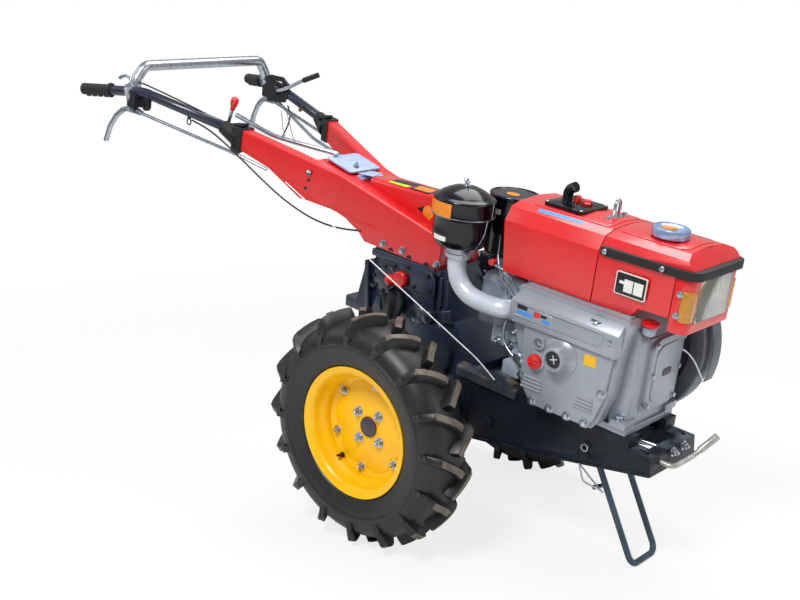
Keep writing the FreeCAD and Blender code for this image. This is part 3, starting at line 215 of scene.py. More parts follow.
looks = {
    # two tones, the size in mm of their patches and of the grain, roughness and its spread,
    # the relief's strength and its depth in mm, then what only some finishes have

    # stove enamel on sheet steel: even saturated colour under a clear gloss, barely any orange peel
    "redEnamel": ("#D9141A", "#CF1118", 90, 7, 0.32, 0.05, 0.05, 0.5, {"coat": 0.6, "coatRough": 0.14}),
    # rim enamel: thicker, sprayed over rolled steel
    "yellowEnamel": ("#FAC200", "#F5B800", 60, 9, 0.36, 0.07, 0.1, 0.6,
                     {"specular": 0.35, "coat": 0.2, "coatRough": 0.16}),
    # blue-grey machine paint over sand-cast iron: grain of the sand shows, soil in the hollows
    "castBlueGrey": ("#1A2740", "#131D30", 45, 4, 0.38, 0.1, 0.35, 0.8,
                     {"coat": 0.4, "coatRough": 0.22, "dust": "#5C5A54", "dustShare": 0.15}),
    # the same casting where soil has dried on its upper faces
    "soiledCasting": ("#242F3D", "#1C2735", 60, 3.6, 0.5, 0.1, 0.35, 0.8,
                      {"dust": "#77705F", "dustShare": 1.0}),
    # the same paint on plate and bar, smoother
    "plateBlueGrey": ("#0F1926", "#0A121D", 70, 5, 0.42, 0.08, 0.14, 0.6,
                      {"specular": 0.3, "dust": "#66727D", "dustShare": 0.95, "dustSide": 0.01}),
    # lighter blue-grey paint of the stand
    "standBlue": ("#32485B", "#283B4D", 40, 5, 0.38, 0.08, 0.1, 0.5, {}),
    # dark navy tube paint: satin sheen along the tube
    "navyEnamel": ("#16213A", "#111A2E", 50, 6, 0.34, 0.06, 0.08, 0.4, {"coat": 0.4, "coatRough": 0.2}),
    # black paint over small castings
    "blackCasting": ("#111419", "#0C0E12", 30, 2.6, 0.46, 0.1, 0.35, 0.7, {}),
    # moulded rubber of grips and strips, a little dusty
    "blackRubber": ("#131417", "#0D0E10", 40, 2, 0.62, 0.08, 0.2, 0.4, {"dust": "#3E3D3A", "dustShare": 0.3}),
    # galvanised and zinc-plated steel: bright, slightly blotchy, soft reflections
    "zincPlate": ("#B9C0CA", "#9AA2AE", 14, 2.4, 0.3, 0.1, 0.12, 0.3, {"metal": 1.0}),
    # moulded red plastic
    "redPlastic": ("#D81E20", "#C8191C", 25, 3, 0.28, 0.04, 0.05, 0.2, {"coat": 0.4, "coatRough": 0.1}),
    # aluminium paint over a die-cast cover: pale grey, a fine even grain
    "silverPaint": ("#9EA4AE", "#9299A4", 120, 2.6, 0.36, 0.06, 0.16, 0.4, {"metal": 0.3}),
    # as-cast aluminium of the intake elbow: brighter and smoother than the painted covers
    "brightAluminium": ("#D3DAE6", "#C2CAD7", 60, 2.4, 0.3, 0.06, 0.14, 0.4, {"metal": 0.15}),
    # hot-dip galvanised sheet: bluish with soft broad spangles
    "galvanised": ("#B9C8E4", "#9DB2DA", 14, 3, 0.3, 0.08, 0.1, 0.3, {"metal": 0.1}),
    # drop-forged steel under oil
    "forgedSteel": ("#B4B6B2", "#8F918B", 18, 2.6, 0.38, 0.1, 0.2, 0.4, {"metal": 0.5}),
    # the cylinder head and blocks: darker, oilier grey paint
    "headGrey": ("#A0ABBB", "#8490A0", 60, 2.8, 0.45, 0.12, 0.35, 0.7,
                 {"metal": 0.15, "dust": "#7D7566", "dustShare": 0.3}),
    # turned cast-iron flywheel under grey primer
    "castIron": ("#6A7077", "#555B62", 60, 2.6, 0.5, 0.08, 0.25, 0.5, {"metal": 0.25}),
    # chromed cap skin, a little hazed; its pale blue base colour is a painted reflection of the sky's tone
    "capChrome": ("#A9BEE4", "#92A9D2", 20, 3, 0.2, 0.05, 0.03, 0.1, {"metal": 0.6}),
    # gloss black stoved over spun sheet: deep, with sharp reflections
    "glossBlack": ("#070B14", "#060910", 60, 12, 0.2, 0.03, 0.05, 0.4,
                   {"specular": 0.3, "coat": 0.25, "coatRough": 0.05}),
    # plastic sleeves of the cables, and grease on the hub caps
    "blackCable": ("#16171A", "#101113", 30, 3, 0.45, 0.05, 0.08, 0.2, {}),
    "paleCable": ("#F0F2F4", "#E2E4E6", 12, 1.6, 0.4, 0.08, 0.2, 0.2, {}),
    "greaseBrown": ("#5E2B26", "#3E1E1B", 8, 2, 0.35, 0.1, 0.2, 0.3, {}),
    # moulded amber lens, and the lamp's bright pressed reflector
    "amberLens": ("#C98212", "#B07A10", 15, 6, 0.2, 0.04, 0.15, 0.4, {"coat": 0.6, "coatRough": 0.08}),
    "reflector": ("#DDE3EE", "#D0D7E4", 26, 12, 0.22, 0.06, 0.2, 0.8, {}),
    # printed vinyl and tin plates, left blank
    "blueStrip": ("#4794DC", "#418CD2", 40, 5, 0.4, 0.04, 0.04, 0.1, {}),
    "whitePlate": ("#E9E8E4", "#DEDDD8", 20, 4, 0.4, 0.04, 0.04, 0.1, {}),
    "blackPlate": ("#191A1C", "#141516", 20, 4, 0.35, 0.04, 0.04, 0.1, {}),
    "yellowPlate": ("#F2B61D", "#EBAE17", 20, 4, 0.38, 0.04, 0.04, 0.1, {}),
    "limePlate": ("#C6DC1E", "#B8CE18", 20, 4, 0.38, 0.04, 0.04, 0.1, {}),
    "orangePlate": ("#E88A28", "#DB7C1E", 12, 4, 0.38, 0.04, 0.04, 0.1, {}),
    # turned brass
    "brass": ("#B8934A", "#9C7A3A", 8, 2, 0.35, 0.08, 0.1, 0.2, {"metal": 1.0}),
}
paints = {name: finish(name, look) for name, look in looks.items()}


def tyreRubber(look):
    # moulded natural-black rubber: matt, faint mould grain, dry soil rubbed on the lug tops
    material, tree = newMaterial("tyreRubber")
    coordinates = addNode(tree, "ShaderNodeTexCoord").outputs
    aboutAxle = addNode(tree, "ShaderNodeMapping", {"Vector": coordinates["Object"],
                                                    "Location": (-axle[0], 0, -axle[2])})
    flat = addNode(tree, "ShaderNodeVectorMath", {0: aboutAxle, 1: (1, 0, 1)}, operation="MULTIPLY")
    radius = addNode(tree, "ShaderNodeVectorMath", {0: flat}, operation="LENGTH").outputs["Value"]
    outward = addNode(tree, "ShaderNodeVectorMath", {0: flat}, operation="NORMALIZE")
    facing = addNode(tree, "ShaderNodeVectorMath", {0: coordinates["Normal"], 1: outward},
                     operation="DOT_PRODUCT").outputs["Value"]
    broad, fine = noise(tree, 35, 5.0), noise(tree, 2.5, 3.0)
    top = maths(tree, "MULTIPLY", ranged(tree, radius, *look["dustFrom"]), ranged(tree, facing, 0.72, 0.88))
    share = maths(tree, "MULTIPLY", maths(tree, "MULTIPLY", top, ranged(tree, broad, 0.36, 0.5, 0.55, 1.0)),
                  look["dustShare"])
    rubber = mixed(tree, ranged(tree, broad, 0.35, 0.7), linear(look["rubber"]), linear(look["greyed"]))
    surface(tree, {"Base Color": mixed(tree, share, rubber, linear(look["soil"])), "IOR": 1.5,
                   "Roughness": ranged(tree, fine, 0.3, 0.7, 0.34, 0.5),
                   "Normal": bump(tree, fine, 0.3, 0.6)})
    return material


def clearLens(look):
    # moulded clear polycarbonate: smooth and thin, a faint ripple left by the mould
    material, tree = newMaterial("clearLens")
    ripple = bump(tree, noise(tree, look["rippleMm"], 1.0), 0.12, 1.5)
    surface(tree, {"Base Color": linear(look["colour"]), "Roughness": 0.03, "IOR": 1.45,
                   "Transmission Weight": 0.95, "Normal": ripple})
    return material


paints["tyreRubber"] = tyreRubber({"rubber": "#0F1013", "greyed": "#17181B", "soil": "#6B6256",
                                   "dustFrom": (0.2925, 0.2945), "dustShare": 0.95})
paints["clearLens"] = clearLens({"colour": "#F6F5EE", "rippleMm": 22.0})
print("finishes ready:", len(paints))


# outlines
def circle(radius, count, u=0.0, v=0.0, start=0.0, step=None, squash=1.0):
    # points about (u, v), from start and by step degrees
    angles = [math.radians(start + (step or 360 / count) * k) for k in range(count)]
    return [(u + radius * math.cos(a), v + squash * radius * math.sin(a)) for a in angles]


def hexagon(across, turn=0.0, u=0.0, v=0.0):
    return circle(across / math.sqrt(3), 6, u, v, turn)


def rect(u0, v0, u1, v1):
    return [(u0, v0), (u1, v0), (u1, v1), (u0, v1)]


def roundedRect(u0, v0, u1, v1, radius, steps=5):
    corners = ((u1 - radius, v1 - radius), (u0 + radius, v1 - radius), (u0 + radius, v0 + radius),
               (u1 - radius, v0 + radius))
    return [point for k, (u, v) in enumerate(corners)
            for point in circle(radius, steps + 1, u, v, 90 * k, 90 / steps)]


def shifted(profile, along, turn=1):         # a lathe's profile moved along its axis
    return [(radius, along + turn * level) for radius, level in profile]


# making pieces
def place(mesh, matrix):
    for vertex in mesh.verts:
        vertex.co = matrix @ vertex.co


def bridge(mesh, rings):                     # quads between each ring of vertices and the next
    return [mesh.faces.new((one[j], two[j], two[(j + 1) % len(one)], one[(j + 1) % len(one)]))
            for one, two in zip(rings, rings[1:]) for j in range(len(one))]


def capped(mesh, rings):                     # the same with both ends closed
    return [mesh.faces.new(rings[0]), mesh.faces.new(rings[-1])] + bridge(mesh, rings)


def closeUp(mesh, faces, paint=0):           # turns the faces outwards and paints them
    bmesh.ops.recalc_face_normals(mesh, faces=faces)
    for face in faces:
        face.material_index = paint


def addPrism(mesh, outline, low, high, axis="Y", bevel=0.0, paint=0):
    # a closed outline pushed from low to high along an axis, its rims rounded by bevel
    def corner(a, b, c):
        return {"X": (c, a, b), "Y": (a, c, b), "Z": (a, b, c)}[axis]
    ends = [[mesh.verts.new(corner(a, b, level)) for a, b in outline] for level in (low, high)]
    faces = capped(mesh, ends)
    closeUp(mesh, faces, paint)
    if bevel:
        edges = [e for e in set(e for f in faces for e in f.edges) if e.calc_face_angle(0) > 0.5]
        bmesh.ops.bevel(mesh, geom=edges, offset=bevel, segments=2, profile=0.6, affect="EDGES",
                        clamp_overlap=True, material=paint)


def addBox(mesh, low, high, bevel=0.0, paint=0):
    addPrism(mesh, rect(low[0], low[2], high[0], high[2]), low[1], high[1], "Y", bevel, paint)


axesOf = {"X": ((0, 1, 0), (0, 0, 1), (1, 0, 0)), "Y": ((1, 0, 0), (0, 0, 1), (0, 1, 0)),
          "Z": ((1, 0, 0), (0, 1, 0), (0, 0, 1))}


def addLathe(mesh, profile, centre=(0, 0, 0), axis="Y", sides=64, paint=0, closed=False):
    # (radius, along) points turned about an axis through centre; ends on the axis close themselves
    u, v, w = [Vector(p) for p in (axesOf[axis] if isinstance(axis, str) else axis)]
    rings = []
    for radius, along in profile:
        middle = Vector(centre) + w * along
        if radius < 1e-6:
            rings.append([mesh.verts.new(middle)] * sides)
        else:
            rings.append([mesh.verts.new(middle + u * a + v * b) for a, b in circle(radius, sides)])
    faces = []
    for one, two in list(zip(rings, rings[1:])) + ([(rings[-1], rings[0])] if closed else []):
        for k in range(sides):
            quad = (one[k], two[k], two[(k + 1) % sides], one[(k + 1) % sides])
            corners = [v for j, v in enumerate(quad) if v not in quad[:j]]
            if len(corners) > 2:
                faces.append(mesh.faces.new(corners))
    if not closed:
        faces += [mesh.faces.new(rings[end]) for end in (0, -1) if profile[end][0] > 1e-6]
    closeUp(mesh, faces, paint)


def smoothPath(points, step=6.0):            # even points on a rounded line through the given ones
    points = [Vector(p) for p in points]
    dense = []
    for k in range(len(points) - 1):
        before, start = points[max(k - 1, 0)], points[k]
        end, after = points[k + 1], points[min(k + 2, len(points) - 1)]
        count = max(2, int((end - start).length / step))
        for t in (j / count for j in range(count)):
            dense.append(0.5 * (2 * start + (end - before) * t
                                + (2 * before - 5 * start + 4 * end - after) * t ** 2
                                + (3 * start - before - 3 * end + after) * t ** 3))
    return dense + [points[-1]]


def addTube(mesh, points, radius, sides=12, paint=0, squeeze=1.0):
    # a round bar along points; radius may be a list with one for each point
    points = [Vector(p) for p in points]
    radii = radius if isinstance(radius, list) else [radius] * len(points)
    heading = (points[1] - points[0]).normalized()
    side = heading.orthogonal().normalized()
    rings = []
    for k, point in enumerate(points):
        new = (points[min(k + 1, len(points) - 1)] - points[max(k - 1, 0)]).normalized()
        side = heading.rotation_difference(new) @ side
        heading = new
        other = heading.cross(side)
        rings.append([mesh.verts.new(point + side * a + other * b)
                      for a, b in circle(radii[k], sides, squash=squeeze)])
    closeUp(mesh, capped(mesh, rings), paint)


def mirrorY(mesh):                           # a copy across the middle of the machine
    copy = mesh.copy()
    for vertex in copy.verts:
        vertex.co.y = -vertex.co.y
    bmesh.ops.reverse_faces(copy, faces=copy.faces[:])
    return copy


def lay(mesh, bit):                          # joins another mesh into this one
    data = bpy.data.meshes.new("bit")
    bit.to_mesh(data)
    bit.free()
    mesh.from_mesh(data)
    bpy.data.meshes.remove(data)


def toObject(mesh, name):
    data = bpy.data.meshes.new(name)
    mesh.to_mesh(data)
    mesh.free()
    made = bpy.data.objects.new(name, data)
    bpy.context.scene.collection.objects.link(made)
    return made


def settle(mesh, name, finishes, node=None, slotName=None, body=None, sharp=32):
    # turns a drawn mesh into a piece on its body, in place of its node if it has one
    piece = toObject(mesh, name)
    piece.data.transform(toPark)
    for finishName in [finishes] if isinstance(finishes, str) else finishes:
        piece.data.materials.append(paints[finishName])
    piece.data.shade_smooth()
    piece.data.set_sharp_from_angle(angle=math.radians(sharp))
    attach(piece, body or bodyOf.get(node, "chassis"))
    if node:
        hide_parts(node)
    return piece


def assemble(name, finishes, bits, mirror=False, lift=None, **given):
    # a piece of several bits, each a drawing function and its values; mirror doubles it to the left
    mesh = bmesh.new()
    for draw, *values in bits:
        draw(mesh, *values)
    if lift:
        lift(mesh)
    if mirror:
        lay(mesh, mirrorY(mesh))
    return settle(mesh, name, finishes, **given)


def copyNode(node):
    # the node's own shape on the level machine, welded and with its flat faces whole again
    mesh = bmesh.new()
    mesh.from_mesh(frame["nodes"][node].data)
    bmesh.ops.remove_doubles(mesh, verts=mesh.verts[:], dist=0.00002)
    place(mesh, fromPark)
    bmesh.ops.dissolve_limit(mesh, angle_limit=math.radians(0.6), verts=mesh.verts[:], edges=mesh.edges[:],
                             delimit=set())
    for face in mesh.faces:
        face.material_index = 0
    return mesh


def soften(mesh, width, turn=32, segments=2):    # rounds every edge sharper than turn degrees
    edges = [e for e in mesh.edges if e.is_manifold and e.calc_face_angle(0) > math.radians(turn)]
    bmesh.ops.bevel(mesh, geom=edges, offset=width, segments=segments, profile=0.55, affect="EDGES",
                    clamp_overlap=True)
    bmesh.ops.remove_doubles(mesh, verts=mesh.verts[:], dist=0.01)


# fastenings, drawn once at 1 mm across the flats and set out by Geometry Nodes
fasteningBits = {
    "hexBolt": [(addLathe, [(0, 0), (0.72, 0), (0.72, 0.1), (0.66, 0.13), (0, 0.13)], (0, 0, 0), "Y", 20),
                (addPrism, hexagon(1.0), 0.13, 0.62, "Y", 0.05)],
    "stud": [(addLathe, [(0, 0), (0.8, 0), (0.8, 0.12), (0, 0.12)], (0, 0, 0), "Y", 20),
             (addPrism, hexagon(1.0, math.degrees(0.3)), 0.12, 0.68, "Y", 0.06),
             (addLathe, [(0, 0.6), (0.3, 0.6), (0.3, 1.05), (0.22, 1.13), (0, 1.13)], (0, 0, 0), "Y", 14)],
    "screw": [(addLathe, [(0, 0), (0.5, 0), (0.5, 0.08), (0.44, 0.2), (0.25, 0.28), (0, 0.3)], (0, 0, 0),
               "Y", 18),
              (addBox, (-0.3, 0.27, -0.05), (0.3, 0.315, 0.05)),
              (addBox, (-0.05, 0.27, -0.3), (0.05, 0.315, 0.3))],
}


def unitFastening(kind):
    mesh = bmesh.new()
    for draw, *values in fasteningBits[kind]:
        draw(mesh, *values)
    place(mesh, Matrix.Rotation(math.radians(90), 4, "X"))        # heads stand along +Z
    return toObject(mesh, kind)


def nodeTree(name, sockets):                 # an empty modifier tree with its named inputs
    tree = bpy.data.node_groups.new(name, "GeometryNodeTree")
    tree.interface.new_socket("Geometry", in_out="OUTPUT", socket_type="NodeSocketGeometry")
    for label, kind in (("Geometry", "Geometry"), *sockets):
        tree.interface.new_socket(label, in_out="INPUT", socket_type="NodeSocket" + kind)
    return tree, addNode(tree, "NodeGroupInput").outputs


def finishTree(tree, geometry, material):
    real = addNode(tree, "GeometryNodeRealizeInstances", {"Geometry": geometry})
    painted = addNode(tree, "GeometryNodeSetMaterial", {"Geometry": real, "Material": material})
    addNode(tree, "NodeGroupOutput", {"Geometry": painted})


def applyTree(tree, source, values):         # gives back the plain mesh that the tree makes of source
    modifier = source.modifiers.new(tree.name, "NODES")
    modifier.node_group = tree
    sockets = {s.name: s.identifier for s in tree.interface.items_tree if s.in_out == "INPUT"}
    for label, value in values.items():
        modifier[sockets[label]] = value
    graph = bpy.context.evaluated_depsgraph_get()
    graph.update()
    made = bpy.data.meshes.new_from_object(source.evaluated_get(graph))
    source.modifiers.remove(modifier)
    return made


def fasteningTree():
    tree, given = nodeTree("setOutFastenings", [("Fastening", "Object"), ("Size", "Float"),
                                                ("Finish", "Material")])
    facing = addNode(tree, "GeometryNodeInputNamedAttribute", {"Name": "facing"}, data_type="FLOAT_VECTOR")
    across = addNode(tree, "GeometryNodeInputNamedAttribute", {"Name": "across"}, data_type="FLOAT")
    shape = addNode(tree, "GeometryNodeObjectInfo", {"Object": given["Fastening"]}).outputs["Geometry"]
    onPoints = addNode(tree, "GeometryNodeInstanceOnPoints", {
        "Points": given["Geometry"], "Instance": shape,
        "Rotation": addNode(tree, "FunctionNodeAlignRotationToVector", {"Vector": facing}, axis="Z"),
        "Scale": maths(tree, "MULTIPLY", across, given["Size"])})
    finishTree(tree, onPoints, given["Finish"])
    return tree


fastenings = {kind: unitFastening(kind) for kind in fasteningBits}
setOut = fasteningTree()


def fasten(name, kind, rows, finishName="zincPlate", slotName="zinc_plate", body="chassis"):
    # rows of (place, facing, size across the flats), all on one body
    data = bpy.data.meshes.new(name)
    data.from_pydata([row[0] for row in rows], [], [])
    for label, dataType, key, column in (("facing", "FLOAT_VECTOR", "vector", 1),
                                         ("across", "FLOAT", "value", 2)):
        values = data.attributes.new(label, dataType, "POINT").data
        for k, row in enumerate(rows):
            setattr(values[k], key, row[column])
    source = bpy.data.objects.new(name + "Points", data)
    bpy.context.scene.collection.objects.link(source)
    made = applyTree(setOut, source, {"Fastening": fastenings[kind], "Size": 1.0,
                                      "Finish": paints[finishName]})
    bpy.data.objects.remove(source)
    mesh = bmesh.new()
    mesh.from_mesh(made)
    bpy.data.meshes.remove(made)
    settle(mesh, name, finishName, None, slotName, body, 35)


# the machine's own finishes, laid on every node that isn't drawn anew below
slotFinish = {
    "tyre_rubber": "tyreRubber", "yellow_enamel": "yellowEnamel", "dark_enamel": "castBlueGrey",
    "red_enamel": "redEnamel", "navy_enamel": "navyEnamel", "black_casting": "blackCasting",
    "black_rubber": "blackRubber", "zinc_plate": "zincPlate", "red_plastic": "redPlastic",
    # the chrome slot's finish has a painted sky reflection in its base colour
    "silver_paint": "silverPaint", "cast_iron": "castIron", "chrome": "capChrome", "clear_lens": "clearLens",
    "amber_lens": "amberLens", "black_gloss": "glossBlack", "black_cable": "blackCable",
    "pale_cable": "paleCable",
}
nodeFinish = {"engine_bed": "plateBlueGrey", "stand": "standBlue", "stand_pin": "plateBlueGrey",
              "cylinder_head": "headGrey", "rocker_cover": "headGrey", "intake_pipe": "silverPaint",
              "shift_gate": "galvanised", "tow_hook": "forgedSteel", "hopper_plate": "glossBlack"}
for node, piece in frame["nodes"].items():
    piece.data.materials.clear()
    piece.data.materials.append(paints[nodeFinish.get(node, slotFinish[slotOf[node]])])


def redraw(node, width, turn=32, segments=2, name=None, sharp=32, extra=None):
    # the node again with its edges rounded, and with an extra mesh joined to it
    mesh = copyNode(node)
    soften(mesh, width, turn, segments)
    if extra:
        lay(mesh, extra)
    settle(mesh, name or node.replace("_", " ").title().replace(" ", ""),
           nodeFinish.get(node, slotFinish[slotOf[node]]), node, sharp=sharp)


# wheels
tyre = {
    "middle": 349.0, "halfWidth": 78.6, "radius": 313.6, "lugs": 16, "firstLug": 8.8, "lugTop": 19.0,
    "lugBase": 30.0,
    # the bar's line: sideways place from the mid-plane, turn in degrees, radius of its top and of its foot
    "bar": [(78.2, 0.0, 262.0, 250), (64.0, -1.0, 296.0, 258), (60.0, -1.3, 300.0, 262),
            (48.0, -2.7, 305.5, 270), (30.0, -4.8, 310.0, 277), (12.0, -7.0, 312.8, 277),
            (-4.0, -9.6, 313.6, 277), (-10.0, -10.7, 312.0, 277), (-13.5, -11.4, 294.0, 277)],
    "steps": [(236.0, 262.0, 9.0), (230.0, 247.0, 5.0)],         # below the bar's end: low, high, half width
    "profile": [(153, 40), (156, 50), (172, 53), (175.5, 56), (176.5, 60), (180, 63.5), (186, 65),
                (200, 70.0), (214, 74.6), (222, 75.6), (225, 78.4), (233, 78.6), (236, 76.0), (246, 75.0),
                (256, 71.0), (266, 64.0), (275, 54.0), (282, 42.0), (286.5, 26.0), (288.5, 10.0),
                (289, 0.0)],
    "inside": [(153, -40), (248, -52), (256, 0), (248, 52), (153, 40)],
}


def wheelPoint(side, middle, radius, sideways, angle):
    turn = math.radians(angle)
    return (radius * math.cos(turn), side * (middle + sideways), radius * math.sin(turn))


def lugMesh(facing):
    # one bar, its outer end stepped down the shoulder; facing is 1 for the outer row, -1 for the inner
    mesh = bmesh.new()
    line = [Vector((math.radians(turn) * tyre["radius"], out)) for out, turn, top, foot in tyre["bar"]]
    rings = []
    for k, (out, turn, top, foot) in enumerate(tyre["bar"]):
        along = (line[min(k + 1, len(line) - 1)] - line[max(k - 1, 0)]).normalized()
        halves = [(foot, tyre["lugBase"] / 2), (top - 2.5, tyre["lugTop"] / 2 + 1.2),
                  (top, tyre["lugTop"] / 2 - 1.2)]
        ring = []
        for radius, half in halves + [(r, -h) for r, h in reversed(halves)]:
            angle = turn + math.degrees(-along.y * half / tyre["radius"])
            sideways = min(out + along.x * half, tyre["halfWidth"])
            ring.append(mesh.verts.new(wheelPoint(1, 0, radius, facing * sideways, angle)))
        rings.append(ring)
    capped(mesh, rings)
    for low, high, half in tyre["steps"]:
        heel = [[mesh.verts.new(wheelPoint(1, 0, radius, facing * out, math.degrees(h / 270.0)))
                 for radius, out, h in ((low, lowOut, -half), (low, lowOut, half), (high, highOut, half),
                                        (high, highOut, -half))]
                for lowOut, highOut in ((76.0, 78.5), (70.0, 70.0))]
        capped(mesh, heel)
    bmesh.ops.recalc_face_normals(mesh, faces=mesh.faces[:])
    return mesh


def treadTree():
    tree, given = nodeTree("lugTread", [("Outer Lug", "Object"), ("Inner Lug", "Object"),
                                        ("Lugs per Side", "Int"),
                                        ("First Lug", "Float"), ("Rubber", "Material")])
    both = addNode(tree, "GeometryNodeJoinGeometry", {0: given["Geometry"]})
    count = given["Lugs per Side"]
    for label, offset in (("Outer Lug", 0.0), ("Inner Lug", 0.5)):
        number = maths(tree, "ADD", addNode(tree, "GeometryNodeInputIndex"), offset)
        turn = maths(tree, "MULTIPLY", maths(tree, "DIVIDE", number, count), -2 * math.pi)
        angle = maths(tree, "SUBTRACT", turn, maths(tree, "RADIANS", given["First Lug"]))
        row = addNode(tree, "GeometryNodeInstanceOnPoints", {
            "Points": addNode(tree, "GeometryNodePoints", {"Count": count}),
            "Instance": addNode(tree, "GeometryNodeObjectInfo", {"Object": given[label]}).outputs["Geometry"],
            "Rotation": addNode(tree, "ShaderNodeCombineXYZ", {"Y": angle})})
        tree.links.new(row.outputs[0], both.inputs[0])
    finishTree(tree, both, given["Rubber"])
    return tree


def makeTyres():
    mesh = bmesh.new()
    half = tyre["profile"]
    addLathe(mesh, half + [(r, -s) for r, s in reversed(half[:-1])] + tyre["inside"], sides=128, closed=True)
    source = toObject(mesh, "carcass")
    lugs = [toObject(lugMesh(facing), "lug") for facing in (1, -1)]
    made = applyTree(treadTree(), source, {
        "Outer Lug": lugs[0], "Inner Lug": lugs[1], "Lugs per Side": tyre["lugs"],
        "First Lug": tyre["firstLug"],
        "Rubber": paints["tyreRubber"]})
    for side, word in wheelSides:
        mesh = bmesh.new()
        mesh.from_mesh(made)
        if side < 0:
            mesh = mirrorY(mesh)
        place(mesh, Matrix.Translation((0, side * tyre["middle"], 0)))
        settle(mesh, "tyre" + word.title(), "tyreRubber", "tyre_" + word, sharp=38)
    for shape in (source, *lugs):
        bpy.data.objects.remove(shape)


rim = {
    "hubBolts": 4, "hubCircle": 50.0, "hubTurn": 54.5, "clampBolts": 6, "clampCircle": 118.0,
    "clampTurn": 25.0,
    "face": -3.2, "padFace": -2.5, "starLobe": 125.0, "starWaist": 101.0, "sheet": 3.4,
    "lobe": [(-19, 0.93), (-11, 0.985), (0, 1.0), (11, 0.985), (19, 0.93)],
    "outer": [(173.5, 57.5), (174.0, 60.5), (173.0, 62.0), (170.5, 61.6), (166.0, 59.4), (159.0, 57.6),
              (154.5, 55.0), (150.5, 49.0), (148.0, 42.0), (147.0, 37.0), (143.5, 30.0), (138.5, 22.0),
              (135.2, 17.0), (134.0, 10.0)],
    "lip": [(158.0, 54.5), (171.0, 57.5)],
    "disc": [(134.5, 1.0), (129, -2.5), (121, -5.5), (110, -7.0), (96, -8.2), (90, -8.8), (20.5, -8.8),
             (20.5, -13.4), (90, -13.4), (98, -12.6), (110, -11.5), (134.5, -5.0)],
    "valveTurn": 236.0,
}


def makeRims():
    face, middle = rim["face"], tyre["middle"]
    front = rim["outer"]
    under = [(r + rim["sheet"], s) for r, s in front[7:]]
    behind = [(r, -s) for r, s in reversed(rim["lip"])] + [(r, -s) for r, s in under]
    hoop = front + [(r, -s) for r, s in reversed(front[:-1])] + behind + under[::-1] + rim["lip"]
    lobes = [(30 + turn, rim["starLobe"] * share) for turn, share in rim["lobe"]] + [(60, rim["starWaist"])]
    star = [circle(radius, 1, start=rim["clampTurn"] + 60 * k + turn)[0] for k in range(6)
            for turn, radius in lobes]
    clamps = [rim["clampTurn"] + 360 / rim["clampBolts"] * k for k in range(rim["clampBolts"])]
    for side, word in wheelSides:
        wheel, spot = word + "_wheel", (0, side * middle, 0)
        mesh = bmesh.new()
        addLathe(mesh, hoop, sides=112, closed=True)
        addLathe(mesh, rim["disc"], sides=96, closed=True)
        addPrism(mesh, star, -11.0, face, "Y", 2.2)     # the clamp bolts sit between its lobes
        addLathe(mesh, [(33, face - 0.2), (31, face + 0.9), (28, face + 0.5), (27.5, -7)], sides=48)
        for turn in clamps:                  # pads welded to the well for the clamp bolts
            addLathe(mesh, [(15, -8), (15, -3.7), (13.5, rim["padFace"]), (0, rim["padFace"])],
                     wheelPoint(1, 0, rim["clampCircle"], 0, turn), sides=24)
        if side < 0:
            mesh = mirrorY(mesh)
        place(mesh, Matrix.Translation(spot))
        settle(mesh, "rim" + word.title(), "yellowEnamel", "rim_" + word, sharp=30)
        rows = [(wheelPoint(side, middle, rim["hubCircle"], face, rim["hubTurn"] + 360 / rim["hubBolts"] * k),
                 (0, side, 0), 17.0) for k in range(rim["hubBolts"])]
        rows += [(wheelPoint(side, middle, rim["clampCircle"], rim["padFace"], turn), (0, side, 0), 14.0)
                 for turn in clamps]
        fasten("wheelNuts" + word.title(), "stud", rows, body=wheel)
        assemble("hubCap" + word.title(), ["greaseBrown", "redPlastic"], [
            (addLathe, shifted([(27.0, -9), (27.0, 0.4), (25.6, 1.6)], 0, side), spot, "Y", 48, 1),
            (addLathe, shifted([(25.6, 1.6), (24.2, 2.4), (21.0, 1.8), (11.0, 1.6), (9.0, 2.2), (5.0, 1.8),
                                (0, 0.4)],
                               0, side), spot, "Y", 48)], body=wheel)
        out = Vector(wheelPoint(1, 0, 1, 0, rim["valveTurn"]))
        foot = out * 131.0 + Vector((0, side * (middle + 7), 0))
        stem = [foot - out * inward + Vector((0, side * sideways, 0))
                for inward, sideways in ((0, 0), (4, 10), (9, 24))]
        assemble("valve" + word.title(), "blackRubber", [
            (addTube, stem, [5.0, 4.2, 3.4], 12),
            (addLathe, [(7.5, -1.5), (7.5, 2.5), (5.0, 4.0), (0, 4.0)], foot, "Y", 20)], body=wheel)
        redraw("hub_" + word, 1.6)
    print("wheels drawn")


makeTyres()
makeRims()


# engine
cover = {
    "face": -166.0, "back": -149.0, "bandFace": -176.0,
    "lower": [(304, 352), (310, 262), (316, 205), (334, 181), (352, 160), (366, 155), (520, 158),
              (536, 180), (551, 232), (555, 290), (558, 352)],
    "band": [(-108, 351), (-176, 351), (-176, 402), (-172, 410), (-136, 442), (-126, 446), (-108, 446)],
    "bandEnds": (262.0, 569.0), "bandLean": 21.0, "frame": (275, 369, 530, 402), "crank": (419, 302),
    "bolts": [(359, 165), (412, 165), (463, 165), (514, 166), (545, 253), (318, 222)],
    "ribs": [(322, 195, 382), (478, 198, 530)], "ribStep": 9.4,
    "pocket": (498, -159, 418), "pocketAxes": ((1, 0, 0), (0, -0.66, 0.75), (0, 0.75, 0.66)),
}


